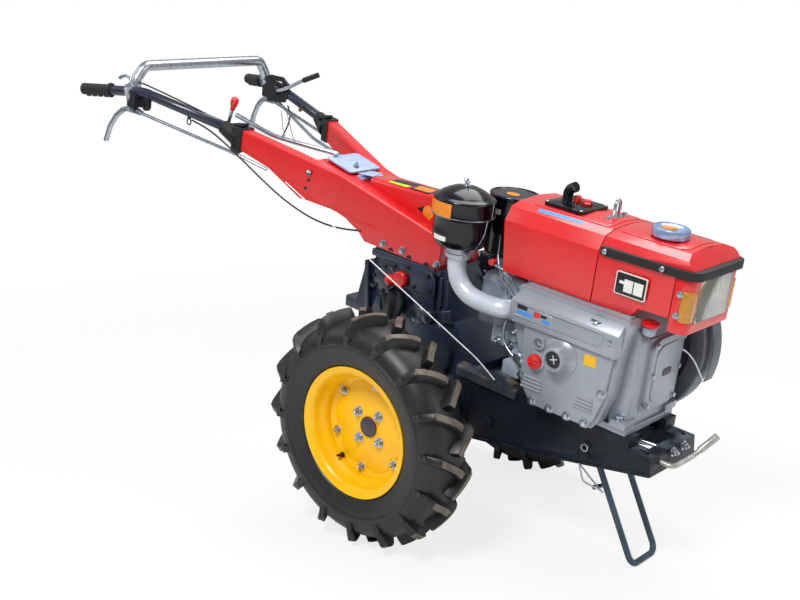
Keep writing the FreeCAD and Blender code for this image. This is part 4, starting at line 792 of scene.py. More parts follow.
def makeGearCover():
    redraw("gear_case", 4.0)
    face, back, bandFace, out = cover["face"], cover["back"], cover["bandFace"], (0, -1, 0)
    mesh = bmesh.new()
    addPrism(mesh, cover["lower"], back, face, "Y", 5.0)
    flange = [(x + (6 if x > 430 else -6), z - (0 if z > 300 else 6)) for x, z in cover["lower"]]
    addPrism(mesh, flange, back + 5, back - 3, "Y", 1.5)
    for x, z in cover["bolts"]:              # bosses in the flange for its bolts
        addLathe(mesh, [(13, 0), (13, -18), (11.5, -20), (0, -20)], (x, back + 4, z), sides=28)
    band = bmesh.new()
    addPrism(band, cover["band"], *cover["bandEnds"], "X", 3.0)
    for vertex in band.verts:                # the upper rear corner leans forward
        if vertex.co.x < 400:
            vertex.co.x += cover["bandLean"] * max(0.0, min(1.0, (vertex.co.z - 402) / 44))
    lay(mesh, band)
    ring = [(x, bandFace - 0.2, z) for x, z in roundedRect(*cover["frame"], 7, 4)]
    addTube(mesh, ring + ring[:2], 2.6, 8)
    addPrism(mesh, rect(300, 351, 566, 348), -168.5, -150, "Y", 1.0)
    x, z = cover["crank"]
    hub, pin = (x, face + 0.5, z), Vector((x, face - 25.5, z))
    addLathe(mesh, [(50, 0), (49, -2.5), (44, -5.5), (36, -15), (31.5, -26), (30, -31), (28, -34),
                    (25.5, -35), (23, -34), (21, -31), (20.6, -12), (20.6, 9), (0, 9)], hub, sides=56)
    pins = [Vector((u, 0, v)) for u, v in circle(10.5, 2, start=20, step=90)]         # the crank's cross pin
    assemble("crankShaftEnd", "brightAluminium", [
        (addLathe, [(12, 4), (12, -24), (10.5, -26), (7, -26), (6, -24), (0, -24)], hub, "Y", 28),
        *[(addTube, [pin - reach, pin + reach], 1.8, 8) for reach in pins]], sharp=34)
    addLathe(mesh, [(21, 0.5), (19, -3), (16.5, -7.5), (13, -8), (12, -6.5), (11.5, -2), (0, -2)],
             (358, face, 319), sides=36)
    addLathe(mesh, [(25, 0.5), (24, -5), (22, -6), (0, -6)], (357, face, 272), sides=44)
    assemble("crankWell", "blackPlate", [
        (addLathe, [(20.4, -27), (19.6, -26), (19.6, 4), (0, 4)], hub, "Y", 40)])
    for x0, z0, x1 in cover["ribs"]:
        for k in range(4):
            z = z0 + cover["ribStep"] * k
            addTube(mesh, [(x0 + 1.6 * k, face - 0.4, z - 0.4), (x1 - 0.8 * k, face - 0.4, z + 0.4)], 3.2, 10)
    axes = [Vector(axis).normalized() for axis in cover["pocketAxes"]]
    addLathe(mesh, [(15, 0), (15, -2), (13.5, -3.2), (10.5, -3.2), (9.5, -1.5), (0, -1.5)], cover["pocket"],
             axes, 28)
    settle(mesh, "gearCover", "silverPaint", "gear_cover", sharp=34)
    rows = [((x, back - 16, z), out, 15) for x, z in cover["bolts"]]
    rows += [((358, face - 2.5, 319), out, 12), ((498, -162, 416), (0, -0.75, 0.66), 13),
             ((277, -176, 356), out, 8), ((549, -176, 388), out, 9)]
    fasten("gearCoverBolts", "hexBolt", rows)
    assemble("fillerKnob", "redPlastic", [
        (addLathe, [(19.0, -4), (19.2, -13), (17.5, -16), (0, -16.5)], (357, face, 271), "Y", 44),
        (addPrism, [(346, 266), (370, 270), (369, 276), (345, 272)], face - 20.5, face - 15, "Y", 1.2)],
        slotName="red_plastic")
    assemble("coverPlate", "yellowPlate", [
        (addPrism, [(486, 308), (519, 309), (517, 336), (485, 335)], face - 0.9, face + 0.2, "Y", 0.3)])
    blocks = ((rect(284, 388, 314, 398), 0), (rect(284, 375, 330, 385), 1), (rect(334, 380, 352, 393), 2),
              (rect(354, 385, 372, 392), 0), (rect(358, 373, 382, 382), 1))
    edge = [(x, bandFace - 0.3, z) for x, z in ((280, 371), (386, 370), (386, 396), (322, 401), (280, 401))]
    assemble("coverStrip", ["blackPlate", "blueStrip", "redPlastic", "whitePlate"], [
        *[(addPrism, block, bandFace - 0.6, bandFace + 0.2, "Y", 0.2, paint) for block, paint in blocks],
        (addTube, edge + edge[:2], 0.9, 6, 3)])
    assemble("coverPocket", "blackPlate", [
        (addLathe, [(13.2, -2.8), (13.2, -3.8), (0, -3.8)], cover["pocket"], axes, 28)])


case = {
    "foot": [(552, 164), (600, 164), (600, 184), (558, 184)], "flange": (-56, 196, 92, 384),
    "panel": (-38, 214, 74, 364),
    "pillar": [(590, 160), (590, 384), (582, 404), (560, 432), (540, 432), (540, 160)],
    "ribs": (230, 290, 350),
    "bolts": [(y, z) for y in (-44, 80) for z in (212, 290, 368)],
}


def makeCrankcase():
    redraw("crankcase", 5.0, 40)
    redraw("crankcase_front_cover", 4.0)
    foot = case["foot"]
    assemble("crankcaseFlanges", "silverPaint", [
        (addPrism, rect(*case["flange"]), 588, 592.5, "X", 1.5),                    # gasket flange
        (addPrism, roundedRect(*case["panel"], 30), 603, 607.5, "X", 2.2),         # pressed panel
        (addPrism, case["pillar"], -104, -92, "Y", 4), (addPrism, foot, -124, -70, "Y", 4),
        (addPrism, foot, 70, 124, "Y", 4),
        *[(addTube, [(540, -98, z), (590, -98, z + 3)], 2.0, 8) for z in case["ribs"]]],
        slotName="silver_paint", sharp=34)
    rows = [((604, y, z), (1, 0, 0), 11) for y, z in case["bolts"]]
    rows += [((574, y, 184), (0, 0, 1), 17) for y in (-110, 110)]
    fasten("crankcaseBolts", "hexBolt", rows)
    assemble("casePlate", "blackPlate", [
        (addPrism, roundedRect(-2, 280, 40, 300, 9.8), 607, 608.6, "X", 0.4)])


head = {
    "pipe": [(220, -118, 322), (222, -128, 296), (233, -134, 270), (262, -138, 248), (283, -139, 240)],
    "wires": [([(146, -92, 520), (150, -96, 470), (140, -92, 448)], 1.6),          # and their radius
              ([(128, -104, 452), (160, -112, 446), (196, -112, 438), (236, -104, 400)], 2.4),
              ([(150, -96, 470), (170, -108, 440), (206, -110, 380), (214, -108, 350)], 2.2),
              ([(196, -90, 480), (190, -96, 450), (200, -100, 420)], 2.6)],
    "plate": [(168, 424), (206, 408), (240, 372), (232, 366), (200, 398), (164, 412)],
    "sideStuds": [(228, -98, 250, 12), (188, -98, 250, 12), (252, -120, 300, 13), (180, -96, 400, 12),
                  (250, -96, 404, 12)],      # place and size
}


def makeHead():
    redraw("cylinder_head", 5.0, 40)
    redraw("rocker_cover", 6.0, 40, 3)
    assemble("headCasting", "headGrey", [
        *[(addPrism, rect(176, z, 244, z + 5), -99.5, -90, "Y", 1.5) for z in (262, 284, 306)],    # ribs
        (addPrism, rect(168, 330, 262, 421), -90, 90, "Y", 6),
        (addPrism, roundedRect(-58, 272, 58, 394, 20), 92, 95.5, "X", 1.6),
        (addLathe, [(14, 0), (14, -18), (12, -20), (0, -20)], (264, -100, 300), "Y", 28),
        (addPrism, [(246, 196), (300, 196), (300, 232), (268, 240), (246, 232)], -150, -102, "Y", 5),   # pump
        (addPrism, rect(262, 236, 292, 262), -140, -104, "Y", 4)], slotName="silver_paint", sharp=34)
    pipe = smoothPath(head["pipe"], 5)
    assemble("fuelFitting", "zincPlate", [
        (addLathe, [(16, 0), (16, -10), (13.5, -12), (13.5, -34), (15.5, -36), (15.5, -46), (12, -50),
                    (0, -50)],
         (302, -122, 258), "Y", 32),
        (addPrism, hexagon(24, 0, 302, 258), -168, -160, "Y", 1),
        (addTube, pipe, 3.6, 12), (addTube, pipe[-4:], 6.5, 12)], sharp=34)
    rows = [((95, y, z), (-1, 0, 0), 12) for y in (-50, 50) for z in (286, 380)]
    rows += [(spot, (0, -1, 0), size) for *spot, size in head["sideStuds"]]
    fasten("headBolts", "stud", rows)
    assemble("governorLinkage", "zincPlate", [
        *[(addTube, smoothPath(points, 5), radius, 8) for points, radius in head["wires"]],
        (addPrism, head["plate"], -112, -108, "Y", 1)])
    assemble("decompressionKnob", "redPlastic", [
        (addLathe, [(9, 0), (9, -12), (7, -14), (0, -14)], (146, -104, 452), "Y", 24)])


def makeFlywheel():
    redraw("flywheel", 2.5)
    for node in ("flywheel_guard", "engine_pulley", "clutch_pulley", "drive_belts"):
        redraw(node, 0.8)
    pad = [(18, 0), (18, -4), (15, -6), (9, -6), (8, -3), (0, -3)]          # raised pads round the web
    assemble("flywheelPads", "castIron", [(addLathe, pad, (x, 160.5, z), "Y", 28)
                                          for x, z in circle(112, 6, 425, 307)],
             body="engine_rotor", slotName="cast_iron")
    fasten("guardBolts", "hexBolt", [((423, 133, 555), (0, 1, 0), 10), ((410, 133, 555), (0, 1, 0), 8)])


makeGearCover()
makeCrankcase()
makeHead()
makeFlywheel()
print("engine drawn")


# hopper, tank and lamp
hood = {"slope": 10 / 30, "ridge": 6 / 79, "top": 622.0}


def makeHood():
    top = hood["top"]
    redraw("hopper", 5.0, 14, 3)
    redraw("fuel_tank", 4.5, 14, 3)
    redraw("tank_bumper", 4.0, 40, 3)

    def onRidge(mesh):                       # folds a panel over the ridge along the hood's middle
        bmesh.ops.bisect_plane(mesh, geom=mesh.verts[:] + mesh.edges[:] + mesh.faces[:], plane_co=(0, 0, 0),
                               plane_no=(0, 1, 0))
        for vertex in mesh.verts:
            vertex.co.z -= hood["ridge"] * abs(vertex.co.y)

    def onShoulder(mesh):                    # lays a level strip on the shoulder's slope
        for vertex in mesh.verts:
            vertex.co.z += top - 4 + (vertex.co.y + 79) * hood["slope"]

    tankOutline = [(474, -76), (628, -74), (644, -52), (644, 58), (628, 76), (474, 76), (466, 66), (466, -66)]
    for name, outline in (("hopperPanel", roundedRect(214, -76, 438, 76, 16)), ("tankPanel", tankOutline)):
        assemble(name, "redEnamel", [
            (addPrism, outline, top - 4, top + 4.0, "Z", 1.6)], lift=onRidge, slotName="red_enamel", sharp=50)
    assemble("blueStrip", "blueStrip", [
        (addPrism, [(250, -99), (244, -86), (374, -82), (378, -95)], -3.0, 0.7, "Z", 0.3)], lift=onShoulder)
    redraw("hopper_plate", 1.4, 34, name="hopperPlate")
    fasten("hopperPlateScrews", "screw", [((x, y, top + 8), (0, 0, 1), 9)
                                             for x in (243, 343) for y in (-53, 57)])
    assemble("hopperKnobs", "redPlastic", [
        (addLathe, [(8, 7), (9.5, 8), (9.5, 20), (7, 24), (0, 24.5)], (284, 18, top), "Z", 24),
        (addLathe, [(13, 7), (14, 9), (14, 13), (11, 15), (9, 20), (0, 21)], (313, 18, top), "Z", 28),
        *[(addBox, (x - 3, y - 3, top + 12), (x + 3, y + 3, top + 19), 1)
          for x, y in circle(11, 3, 313, 18)]],
        node="hopper_knobs")
    redraw("lifting_eye", 0.8)
    fasten("liftingEyeBolts", "hexBolt", [((404, y, top + 1), (0, 0, 1), 12) for y in (-26, 48)])
    # the cap's chrome skin carries a painted reflection of the sky in its pale blue base colour
    assemble("fuelCap", ["capChrome", "orangePlate"], [
        (addLathe, [(34, 2), (43, 3), (45, 5), (45.4, 8), (45.4, 21), (44.6, 24), (42, 26), (40, 26),
                    (38.5, 24), (34, 21.5), (26, 19.5), (14, 18.2), (0, 18.0)], (568, -18, top), "Z", 72),
        (addPrism, circle(19, 24, 554, -2), top + 18, top + 20.8, "Z", 0.3, 1)], node="tank_cap")
    fasten("bumperScrews", "screw", [((x, side * y, 579), (0, side, 0), 14) for side in (-1, 1)
                                     for x, y in ((473, 137), (620, 129))])
    marks = (rect(534, 500, 557, 530), rect(560, 500, 584, 530), rect(521, 517, 534, 524))
    assemble("blankSpecPlate", ["whitePlate", "blackPlate"], [
        (addPrism, roundedRect(510, 490, 592, 545, 4), -129.6, -126, "Y", 0.3),
        (addPrism, roundedRect(512.5, 492.5, 589.5, 542.5, 3), -130.2, -129, "Y", 0.2, 1),
        *[(addPrism, mark, -130.6, -130, "Y", 0.1) for mark in marks]])
    bowl = (594, -82, 435)
    assemble("sedimentBowl", ["redEnamel", "headGrey"], [
        (addLathe, [(17, 0), (22, -3), (23, -8), (20, -12), (0, -12)], bowl, "Z", 40),
        (addLathe, [(16, -12), (17, -15), (16, -30), (11, -35), (0, -36)], bowl, "Z", 40, 1)])


lamp = {"half": 79.0, "low": 460.0, "high": 562.0, "front": 697.0, "footFlute": 34, "flutes": 9,
        "setBack": 3.8}


def makeLamp():
    redraw("lamp_housing", 2.5, 25, name="lampHousing")
    half, low, high = lamp["half"], lamp["low"], lamp["high"]
    front, pane = lamp["front"] - lamp["setBack"], rect(-half, low, half, high)       # the reflector's front
    middle = (lamp["flutes"] - 1) / 2        # upright flutes, deeper at the foot of the lamp
    flutes = [half * (k - middle) / (middle + 0.5) for k in range(lamp["flutes"])]
    assemble("lampReflector", ["reflector", "brightAluminium"], [
        (addPrism, pane, front - 6.5, front - 5.5, "X", 0.3),
        *[(addTube, [(front - 5.6, y, low + 3), (front - 5.6, y, high - 3)], 1.4, 8) for y in flutes],
        (addPrism, [(front - 5.5, low + 2), (front - 1.0, low + 2), (front - 5.5, low + lamp["footFlute"])],
         2 - half, half - 2, "Y", 0.4, 1)])
    assemble("lampLens", "clearLens", [
        (addPrism, pane, lamp["front"] - 3, lamp["front"], "X", 1.4)], node="lamp_lens")
    redraw("side_lenses", 3.0, 25, 3, "sideLenses")
    fasten("lampScrews", "hexBolt", [((667, side * 113, z), (0, side, 0), 11) for side in (-1, 1)
                                     for z in (531, 480)])


breathing = {
    "cleaner": (52, -134, 0), "base": 476.0, "top": 607.0, "muffler": (101, 12, 0), "mufflerLow": 438.0,
    "bowl": [(0, 0), (54, 0), (62, 3), (66, 8), (71, 18), (73.6, 30), (74, 44), (74, 76), (76, 79),
             (80, 82), (81, 84), (80.4, 87), (80, 90)],
    "lid": [(80, -14), (80.8, -12), (81, -8), (80, -5), (77, -3), (72, -1.5), (69, 0), (66, 2.5), (62, 6),
            (50, 13), (34, 20), (16, 24.5), (9, 25.5), (0, 25.5)],
    # blank plates on the bowl: turn and half width in degrees, low and high, radius, paint
    "plates": [(-108, 36, 556, 598, 80.2, 2), (-108, 33, 558, 596, 80.6, 1), (-99, 17, 497, 509, 73.4, 0)],
}


def makeBreathing():
    base, top, spot = breathing["base"], breathing["top"], breathing["cleaner"]
    assemble("airCleaner", "glossBlack", [
        (addLathe, shifted(breathing["bowl"], base) + shifted(breathing["lid"], top), spot, "Z", 96)],
        node="air_cleaner", sharp=40)

    def around(turn, radius, height):        # a point on the cleaner's wall
        return Vector((*circle(radius, 1, spot[0], spot[1], turn)[0], height))

    wings = [[Vector((spot[0] + side * d, spot[1] - side * d * 0.6, top + z))
              for d, z in ((3, 29), (9, 32), (14, 37), (15, 41))] for side in (-1, 1)]
    hook = smoothPath([around(-3, 82, base + 84), around(-5, 78, base + 44), around(-12, 67, base + 12),
                       around(-18, 58, base + 1)], 6)
    assemble("cleanerFittings", "zincPlate", [
        (addLathe, shifted([(11, 22), (11, 26), (6, 27), (5, 33), (3.4, 34), (3.4, 42), (0, 42)], top),
         spot, "Z", 20),
        *[(addTube, wing, [3, 2.6, 3.2, 2.2], 8, 0, 0.5) for wing in wings],
        (addTube, [around(5 * k, 81.3, base + 84) for k in range(73)], 1.3, 6),       # wire band of the bowl
        (addTube, [around(11, 81.2, top - 3), around(11, 81.2, base + 86)], 1.1, 6),  # and its two clips
        (addTube, hook, 1.5, 8)])
    plates = bmesh.new()
    for turn, half, low, high, radius, paint in breathing["plates"]:
        rows = [[plates.verts.new(around(turn - half + half * k / 4, radius + grow, z))
                 for grow, z in ((-0.6, low), (0.4, low), (0.4, high), (-0.6, high))] for k in range(9)]
        closeUp(plates, capped(plates, rows), paint)
    settle(plates, "cleanerBlankPlates", ["whitePlate", "orangePlate", "blackPlate"])

    low, silencer = breathing["mufflerLow"], breathing["muffler"]
    drum = [(0, low), (30, low), (50, low + 4), (61, low + 10), (65, low + 18), (65, 531), (66.2, 533),
            (66.2, 536),
            (65, 538), (65, top - 9), (66.4, top - 7), (66.4, top - 3), (65, top - 1), (61, top),
            (58, top - 2.5),
            (0, top - 2)]
    assemble("muffler", "glossBlack", [
        (addLathe, drum, silencer, "Z", 88),
        (addLathe, [(19, 56), (19, 112), (17, 113), (16, 112), (16, 60)], (91, 12, 500), "Y", 32, 0, True)],
        node="muffler", sharp=40)
    oval = [(101 + u, 2 + v) for u, v in circle(19, 24, squash=15 / 19)]
    assemble("mufflerBlankPlate", "orangePlate", [(addPrism, oval, top - 2.4, top - 1.2, "Z", 0.3)])
    assemble("mufflerSmallPlate", "whitePlate", [(addPrism, rect(93, 558, 109, 572), -53.5, -52.4, "Y", 0.2)])
    bend = smoothPath([(52, -134, 476), (52, -134, 452), (54, -134, 415), (70, -134, 380), (100, -134, 358),
                       (140, -134, 350), (180, -134, 350), (206, -130, 351), (217, -118, 352),
                       (218, -104, 352)], 8)
    assemble("intakeElbow", "brightAluminium", [
        (addTube, bend, 24.5, 40),
        (addLathe, [(24, 444), (33, 446), (33.6, 448), (33.6, 456), (31, 458), (31, 464), (33.6, 466),
                    (33.6, 476), (0, 476)], spot, "Z", 48)], node="intake_pipe", sharp=40)
    assemble("collarEar", "silverPaint", [
        (addPrism, [(84, -152), (100, -158), (100, -146), (84, -138)], 450, 470, "Z", 1.5)])
    fasten("collarBolts", "hexBolt", [((93, -156, 464), (0, -1, 0), 9), ((239, -118, 352), (1, 0, 0), 9),
                                      ((215, -116, 378), (0, -1, 0), 9)])


makeHood()
makeLamp()
makeBreathing()
print("hopper, tank, lamp, intake and exhaust drawn")


# gearbox, final drive and hitch
gearbox = {
    "side": -75.0, "ledge": (-278, -52), "roundCover": (-222, 293, 43.0), "filler": (-160, 310),
    "panel": [(-202, 349), (-125, 361), (-58, 358), (-44, 342), (-41, 298), (-109, 291), (-132, 304),
              (-137, 326)],
    "panelBolts": [(-188, 340), (-138, 350), (-66, 346), (-56, 306), (-112, 303)],
    "lowerBolts": [(-122, 262), (-80, 255), (-47, 241), (-158, 246), (-124, 214), (-60, 205)],
    "roundCircle": 36, "roundBolts": (135, 180, 225, 270, 90), "axleCircle": 68, "axleBolts": 8,
}


def makeGearbox():
    face = gearbox["side"]
    x, z, across = gearbox["roundCover"]
    for node in ("gearbox_case", "axle_housings"):
        redraw(node, 4.0, 40)
    redraw("hitch_bracket", 3.0, 40)
    near = bmesh.new()
    x0, x1 = gearbox["ledge"]
    for outline, low, high, bevel in (
            (gearbox["panel"], -19, -8, 3.5), (circle(across, 8, x, z, 22.5), -17, -6, 4.0),
            ([(x0, 366), (x0, 345), (x1, 352), (x1, 370)], -17, 4, 4.0),              # ledge under the arms
            ([(-303, 323), (-290, 328), (-270, 186), (-284, 184)], -16, 4, 3.5),
            ([(-284, 262), (-262, 258), (-262, 250), (-282, 254)], -12, 4, 3.0),
            ([(-36, 352), (-28, 350), (-22, 268), (-30, 262)], -9, 4, 2.5),           # ribs at the front end
            ([(-12, 352), (-4, 350), (2, 268), (-6, 262)], -9, 4, 2.5),
            ([(-48, 214), (-16, 228), (4, 206), (2, 178), (-40, 184)], -16, 0, 5.0),
            ([(-18, 262), (10, 272), (24, 236), (-6, 232)], -14, 0, 4.0),
            ([(-250, 232), (-232, 232), (-226, 196), (-262, 196)], -13, 0, 4.0)):
        addPrism(near, outline, face + low, face + high, "Y", bevel)
    for profile, spot, sides in (            # the round cover's boss and the side shafts' bearing caps
            ([(30, -16), (30, -19), (27, -21), (0, -21)], (x, 0, z), 40),
            ([(31, 0), (31, -20), (27, -24), (20, -24), (19, -21), (0, -21)], (-89, 0, 228), 44),
            ([(19, 0), (19, -26), (16, -29), (0, -29)], (-52, 0, 236), 32)):
        addLathe(near, shifted(profile, face), spot, sides=sides)
    lay(near, mirrorY(near))
    redraw("gearbox_covers", 3.0, 40, name="gearboxCovers", sharp=34, extra=near)
    rows = []
    for side in (-1, 1):
        heads = [(spot, 19 - face, 9.5) for spot in gearbox["panelBolts"]]
        heads += [(spot, 12 - face, 10) for spot in gearbox["lowerBolts"]]
        heads += [(circle(gearbox["roundCircle"], 1, x, z, turn)[0], 17 - face,
                   8.5) for turn in gearbox["roundBolts"]]
        heads += [(spot, 115, 11) for spot in circle(gearbox["axleCircle"], gearbox["axleBolts"])]
        rows += [((u, side * out, v), (0, side, 0), size) for (u, v), out, size in heads]
    fasten("gearboxBolts", "hexBolt", rows, "plateBlueGrey", None)
    rear = [(-209, 258), (-196, 258), (-189, 238), (-181, 213), (-167, 202), (-171, 190), (-183, 192),
            (-197, 207), (-207, 240)]
    ahead = [(-158, 278), (-146, 280), (-131, 258), (-135, 230), (-155, 198), (-167, 204), (-150, 232),
             (-145, 254)]
    assemble("brakeFork", "blackCasting", [
        (addPrism, rear, -112, -98, "Y", 2.5), (addPrism, ahead, -112, -98, "Y", 2.5),
        (addLathe, [(0, 198), (20, 198), (22, 202), (22, 256), (19, 262), (19, 272), (0, 272)],
         (-173, -98, 0), "Z", 36)])
    x, z = gearbox["filler"]
    assemble("gearboxFillerCap", "redPlastic", [
        (addLathe, shifted([(21, -12), (23, -14), (23, -28), (21.5, -30.5), (18, -31.5), (0, -32)], face),
         (x, 0, z),
         "Y", 56),
        (addTube, [(x - 16, face - 24, z - 6), (x - 26, face - 26, z - 8)], 9, 20),
        (addLathe, [(v, u) for u, v in circle(17, 13, step=15)], (x - 33, face - 24, z - 11), "Y", 36)],
        node="gearbox_filler_cap", sharp=50)


# handle frame
frameArms = {"bend": (-420.0, 97.6), "fall": 0.0363, "boxRear": -353.0, "boxTop": 543.0, "boxRise": 8.0 / 308,
             "bolts": [(-240, 389), (-171, 388), (-51, 383)], "notches": [(-211, 376), (-146, 373),
                                                                          (-86, 370)],
             "rearHoles": [(-513, 505), (-521, 480)], "rearSpread": (-728, 194, 0.313)}


def armFace(x):                              # how far out the arm's outer face is beside the gearbox
    bendX, bendY = frameArms["bend"]
    return bendY - frameArms["fall"] * (x - bendX)


def onBox(mesh):                             # lays level plates on the sloping top of the centre box
    for vertex in mesh.verts:
        vertex.co.z += frameArms["boxTop"] + frameArms["boxRise"] * (vertex.co.x - frameArms["boxRear"])


def makeHandleFrame():
    for word in ("left", "right"):
        redraw("handle_arm_" + word, 1.6, 24, 3, "handleArm" + word.title(), 28)
    redraw("handle_frame_centre", 4.0, 24, 3, "handleFrameCentre", 28)
    rows, holes = [], bmesh.new()
    startX, startY, spread = frameArms["rearSpread"]
    for side in (-1, 1):
        rows += [((x, side * armFace(x), z), (0.036, side, 0), 15) for x, z in frameArms["bolts"]]
        rows.append(((-513, side * 127.4, 526), (-0.3, side, 0), 14))
        for x, z in frameArms["notches"]:
            y = side * (armFace(x) + 0.2)
            addPrism(holes, circle(9, 17, x, z, -6, 12), y - 0.5, y + 0.5, "Y", 0.2)
        for x, z in frameArms["rearHoles"]:
            y = startY - spread * (x - startX)
            axes = ((0.954, -0.299 * side, 0), (0, 0, 1), (0.299, side * 0.954, 0))
            addLathe(holes, [(4.8, -0.6), (4.8, 0.5), (0, 0.5)], (x, side * y, z), axes, 20)
    fasten("armBolts", "hexBolt", rows)
    settle(holes, "armHoles", "blackPlate")
    plates = bmesh.new()
    for outline, low, high, bevel, paint in (
            ([(-296, -20), (-300, 12), (-220, 24), (-226, -14)], -0.6, 0.5, 0.2, 0),
            ([(-292, -38), (-296, -22), (-226, -16), (-224, -38)], -0.6, 0.55, 0.2, 1),
            ([(-214, -38), (-226, 18), (-150, 24), (-132, -20), (-146, -38)], -0.6, 0.5, 0.2, 0),
            ([(-206, -30), (-214, 10), (-160, 14), (-148, -22), (-156, -30)], 0.3, 0.8, 0.1, 2)):
        addPrism(plates, outline, low, high, "Z", bevel, paint)
    onBox(plates)
    addPrism(plates, [(-166, 501), (-136, 519), (-108, 503), (-128, 478)], -43.9, -42.6, "Y", 0.2, 2)
    addPrism(plates, [(-174, 501), (-150, 514), (-154, 492)], -44.1, -42.6, "Y", 0.2)
    settle(plates, "frameBlankPlates", ["blackPlate", "limePlate", "orangePlate"])
    redraw("shift_gate", 1.2)
    assemble("gateStrip", "galvanised", [
        (addPrism, [(-402, -44), (-402, 14), (-366, 20), (-352, -34)], 0.4, 2.4, "Z", 0.6)], lift=onBox)
    fasten("gateBolts", "stud", [((-436, -18, 553), (0.216, 0, 0.976), 11)])
    print("gearbox and handle frame drawn")


# handles and controls
handles = {
    "before": (-1214, -307, 635), "tip": (-1307, -334, 623), "gripRadius": 17.0, "collarRadius": 22.0,
    "gripLength": 100.0, "ribs": 13, "waves": 4, "clampX": -1148.0,
    "knob": [(0, 0), (6.0, 0), (7.0, 2), (8.2, 10), (11.0, 20), (12.2, 28), (11.6, 34), (8.6, 39),
             (4.5, 41.6), (0, 42.2)],
    "knobFoot": (-806, -170, 648), "knobTop": (-797.4, -170, 677),
    "throttle": [(-1152, -262, 668), (-1110, -262, 672), (-1050, -250, 662), (-990, -240, 652),
                 (-930, -227, 640), (-860, -206, 622), (-800, -190, 606)],
}


def gripMesh():
    mesh = bmesh.new()
    tip, length = Vector(handles["tip"]), handles["gripLength"]
    along = (tip - Vector(handles["before"])).normalized()
    side = along.cross(Vector((0, 0, 1))).normalized()
    up = side.cross(along)
    start = tip + along * (3 - length)
    r, collar = handles["gripRadius"], handles["collarRadius"]
    profile = [(0, -9), (collar - 2, -9), (collar, -7), (collar, -2), (collar - 3, 0.5)]
    step = (length - 8) / handles["ribs"]
    for k in range(handles["ribs"]):
        at = 2 + step * k
        profile += [(r - 1.0, at), (r + 0.5, at + step * 0.2), (r + 0.5, at + step * 0.6),
                    (r - 1.0, at + step * 0.8)]
    profile += [(r + 0.6, length - 5), (r + 0.4, length - 1), (r - 2, length + 0.4), (0, length + 0.6)]
    addLathe(mesh, profile, start, (side, up, along), 48)
    for k in range(handles["waves"]):        # finger waves under the grip
        at = start + along * (14 + 22 * k) - up * (r - 6)
        addTube(mesh, [at + along * a - up * b for a, b in ((-7, 0), (-3, 2.5), (3, 2.5), (7, 0))],
                [5, 9, 9, 5], 16)
    return mesh


def makeHandles():
    settle(copyNode("handle_tubes"), "handleTubes", "navyEnamel", "handle_tubes", sharp=50)
    assemble("grips", "blackRubber", [(lay, gripMesh())], mirror=True, node="grips", sharp=30)
    tabs = bmesh.new()                         # flat tab on top, and the lug below
    addPrism(tabs, [(-790, 614), (-742, 622), (-742, 612), (-790, 602)], -186, -158, "Y", 3.0)
    addPrism(tabs, [(-772, 570), (-744, 566), (-746, 534), (-760, 530), (-770, 544)], -196, -176, "Y", 5.0)
    lay(tabs, mirrorY(tabs))
    redraw("arm_sockets", 3.0, 40, 3, "armSockets", 34, tabs)
    fasten("socketBolts", "hexBolt", [((-760, side * 197, 548), (0, side, 0), 9) for side in (-1, 1)])
    redraw("crossbar", 0.4)
    clampX, ears = handles["clampX"], bmesh.new()
    for side in (-1, 1):                     # ears of the clamp, drawn together by a bolt
        addBox(ears, (clampX - 13, side * 279 - 3, 612), (clampX + 13, side * 279 + 3, 630), 1.5)
    redraw("crossbar_clamps", 1.2, 40, name="crossbarClamps", extra=ears)
    foot = [(250, 652), (272, 652), (270, 676), (262, 688), (252, 690)]     # pressed feet on the tubes
    assemble("crossbarFeet", "zincPlate", [
        (addPrism, [(side * y, z) for y, z in foot], clampX - 14, clampX + 14, "X", 2.0) for side in (-1, 1)])
    fasten("clampBolts", "hexBolt", [((clampX + 2, side * 284, 620), (0, side, 0), 11) for side in (-1, 1)])
    redraw("lever_brackets", 2.0, 40)
    redraw("steering_levers", 2.2, 40, 3)
    redraw("control_rods", 0.3)
    redraw("clutch_lever", 1.2, 40)
    stem = smoothPath([(-1034, 212, 641), (-992, 214, 655), (-944, 238, 688)], 8)
    assemble("clutchStem", "zincPlate", [(addTube, stem, 6.0, 16)])        # its black knob is left bare
    redraw("throttle_lever", 1.0, 40)
    redraw("shift_rod", 0.4)
    fasten("leverPivots", "stud", [((-1132, side * 288, 592), (0, side, 0), 13) for side in (-1, 1)])
    foot, across = Vector(handles["knobFoot"]), Vector((0, 1, 0))
    upright = (Vector(handles["knobTop"]) - foot).normalized()
    assemble("lockKnob", "redPlastic", [
        (addLathe, handles["knob"], foot, (across, upright.cross(across), upright), 36)], node="lock_lever",
        sharp=50)
    assemble("lockStem", "zincPlate", [
        (addTube, [(-820, -170, 604), (-806, -170, 650)], 5.0, 16),
        (addTube, [(-826, -170, 600), (-812, -166, 598)], 9.0, 16),
        (addTube, [(-776, 20, 560), (-780, 12, 590), (-784, 4, 640)], 1.1, 6),        # return wires
        (addTube, [(-740, 24, 556), (-752, 18, 590), (-772, 12, 646)], 1.1, 6)])
    assemble("cableFitting", "brass", [
        (addLathe, [(6, 0), (6, 10), (4.5, 12), (4.5, 22), (0, 22)], (-916, 212, 596), "Z", 20)])
    assemble("tubeClip", "blackCable", [
        (addTube, [(x, -222, z) for x, z in circle(9, 11, -936, 590, step=36)], 2.0, 8),
        (addBox, (-941, -226, 598), (-931, -218, 612), 1.5),
        (addTube, smoothPath(handles["throttle"], 12), 2.4, 10)])
    print("handles and controls drawn")


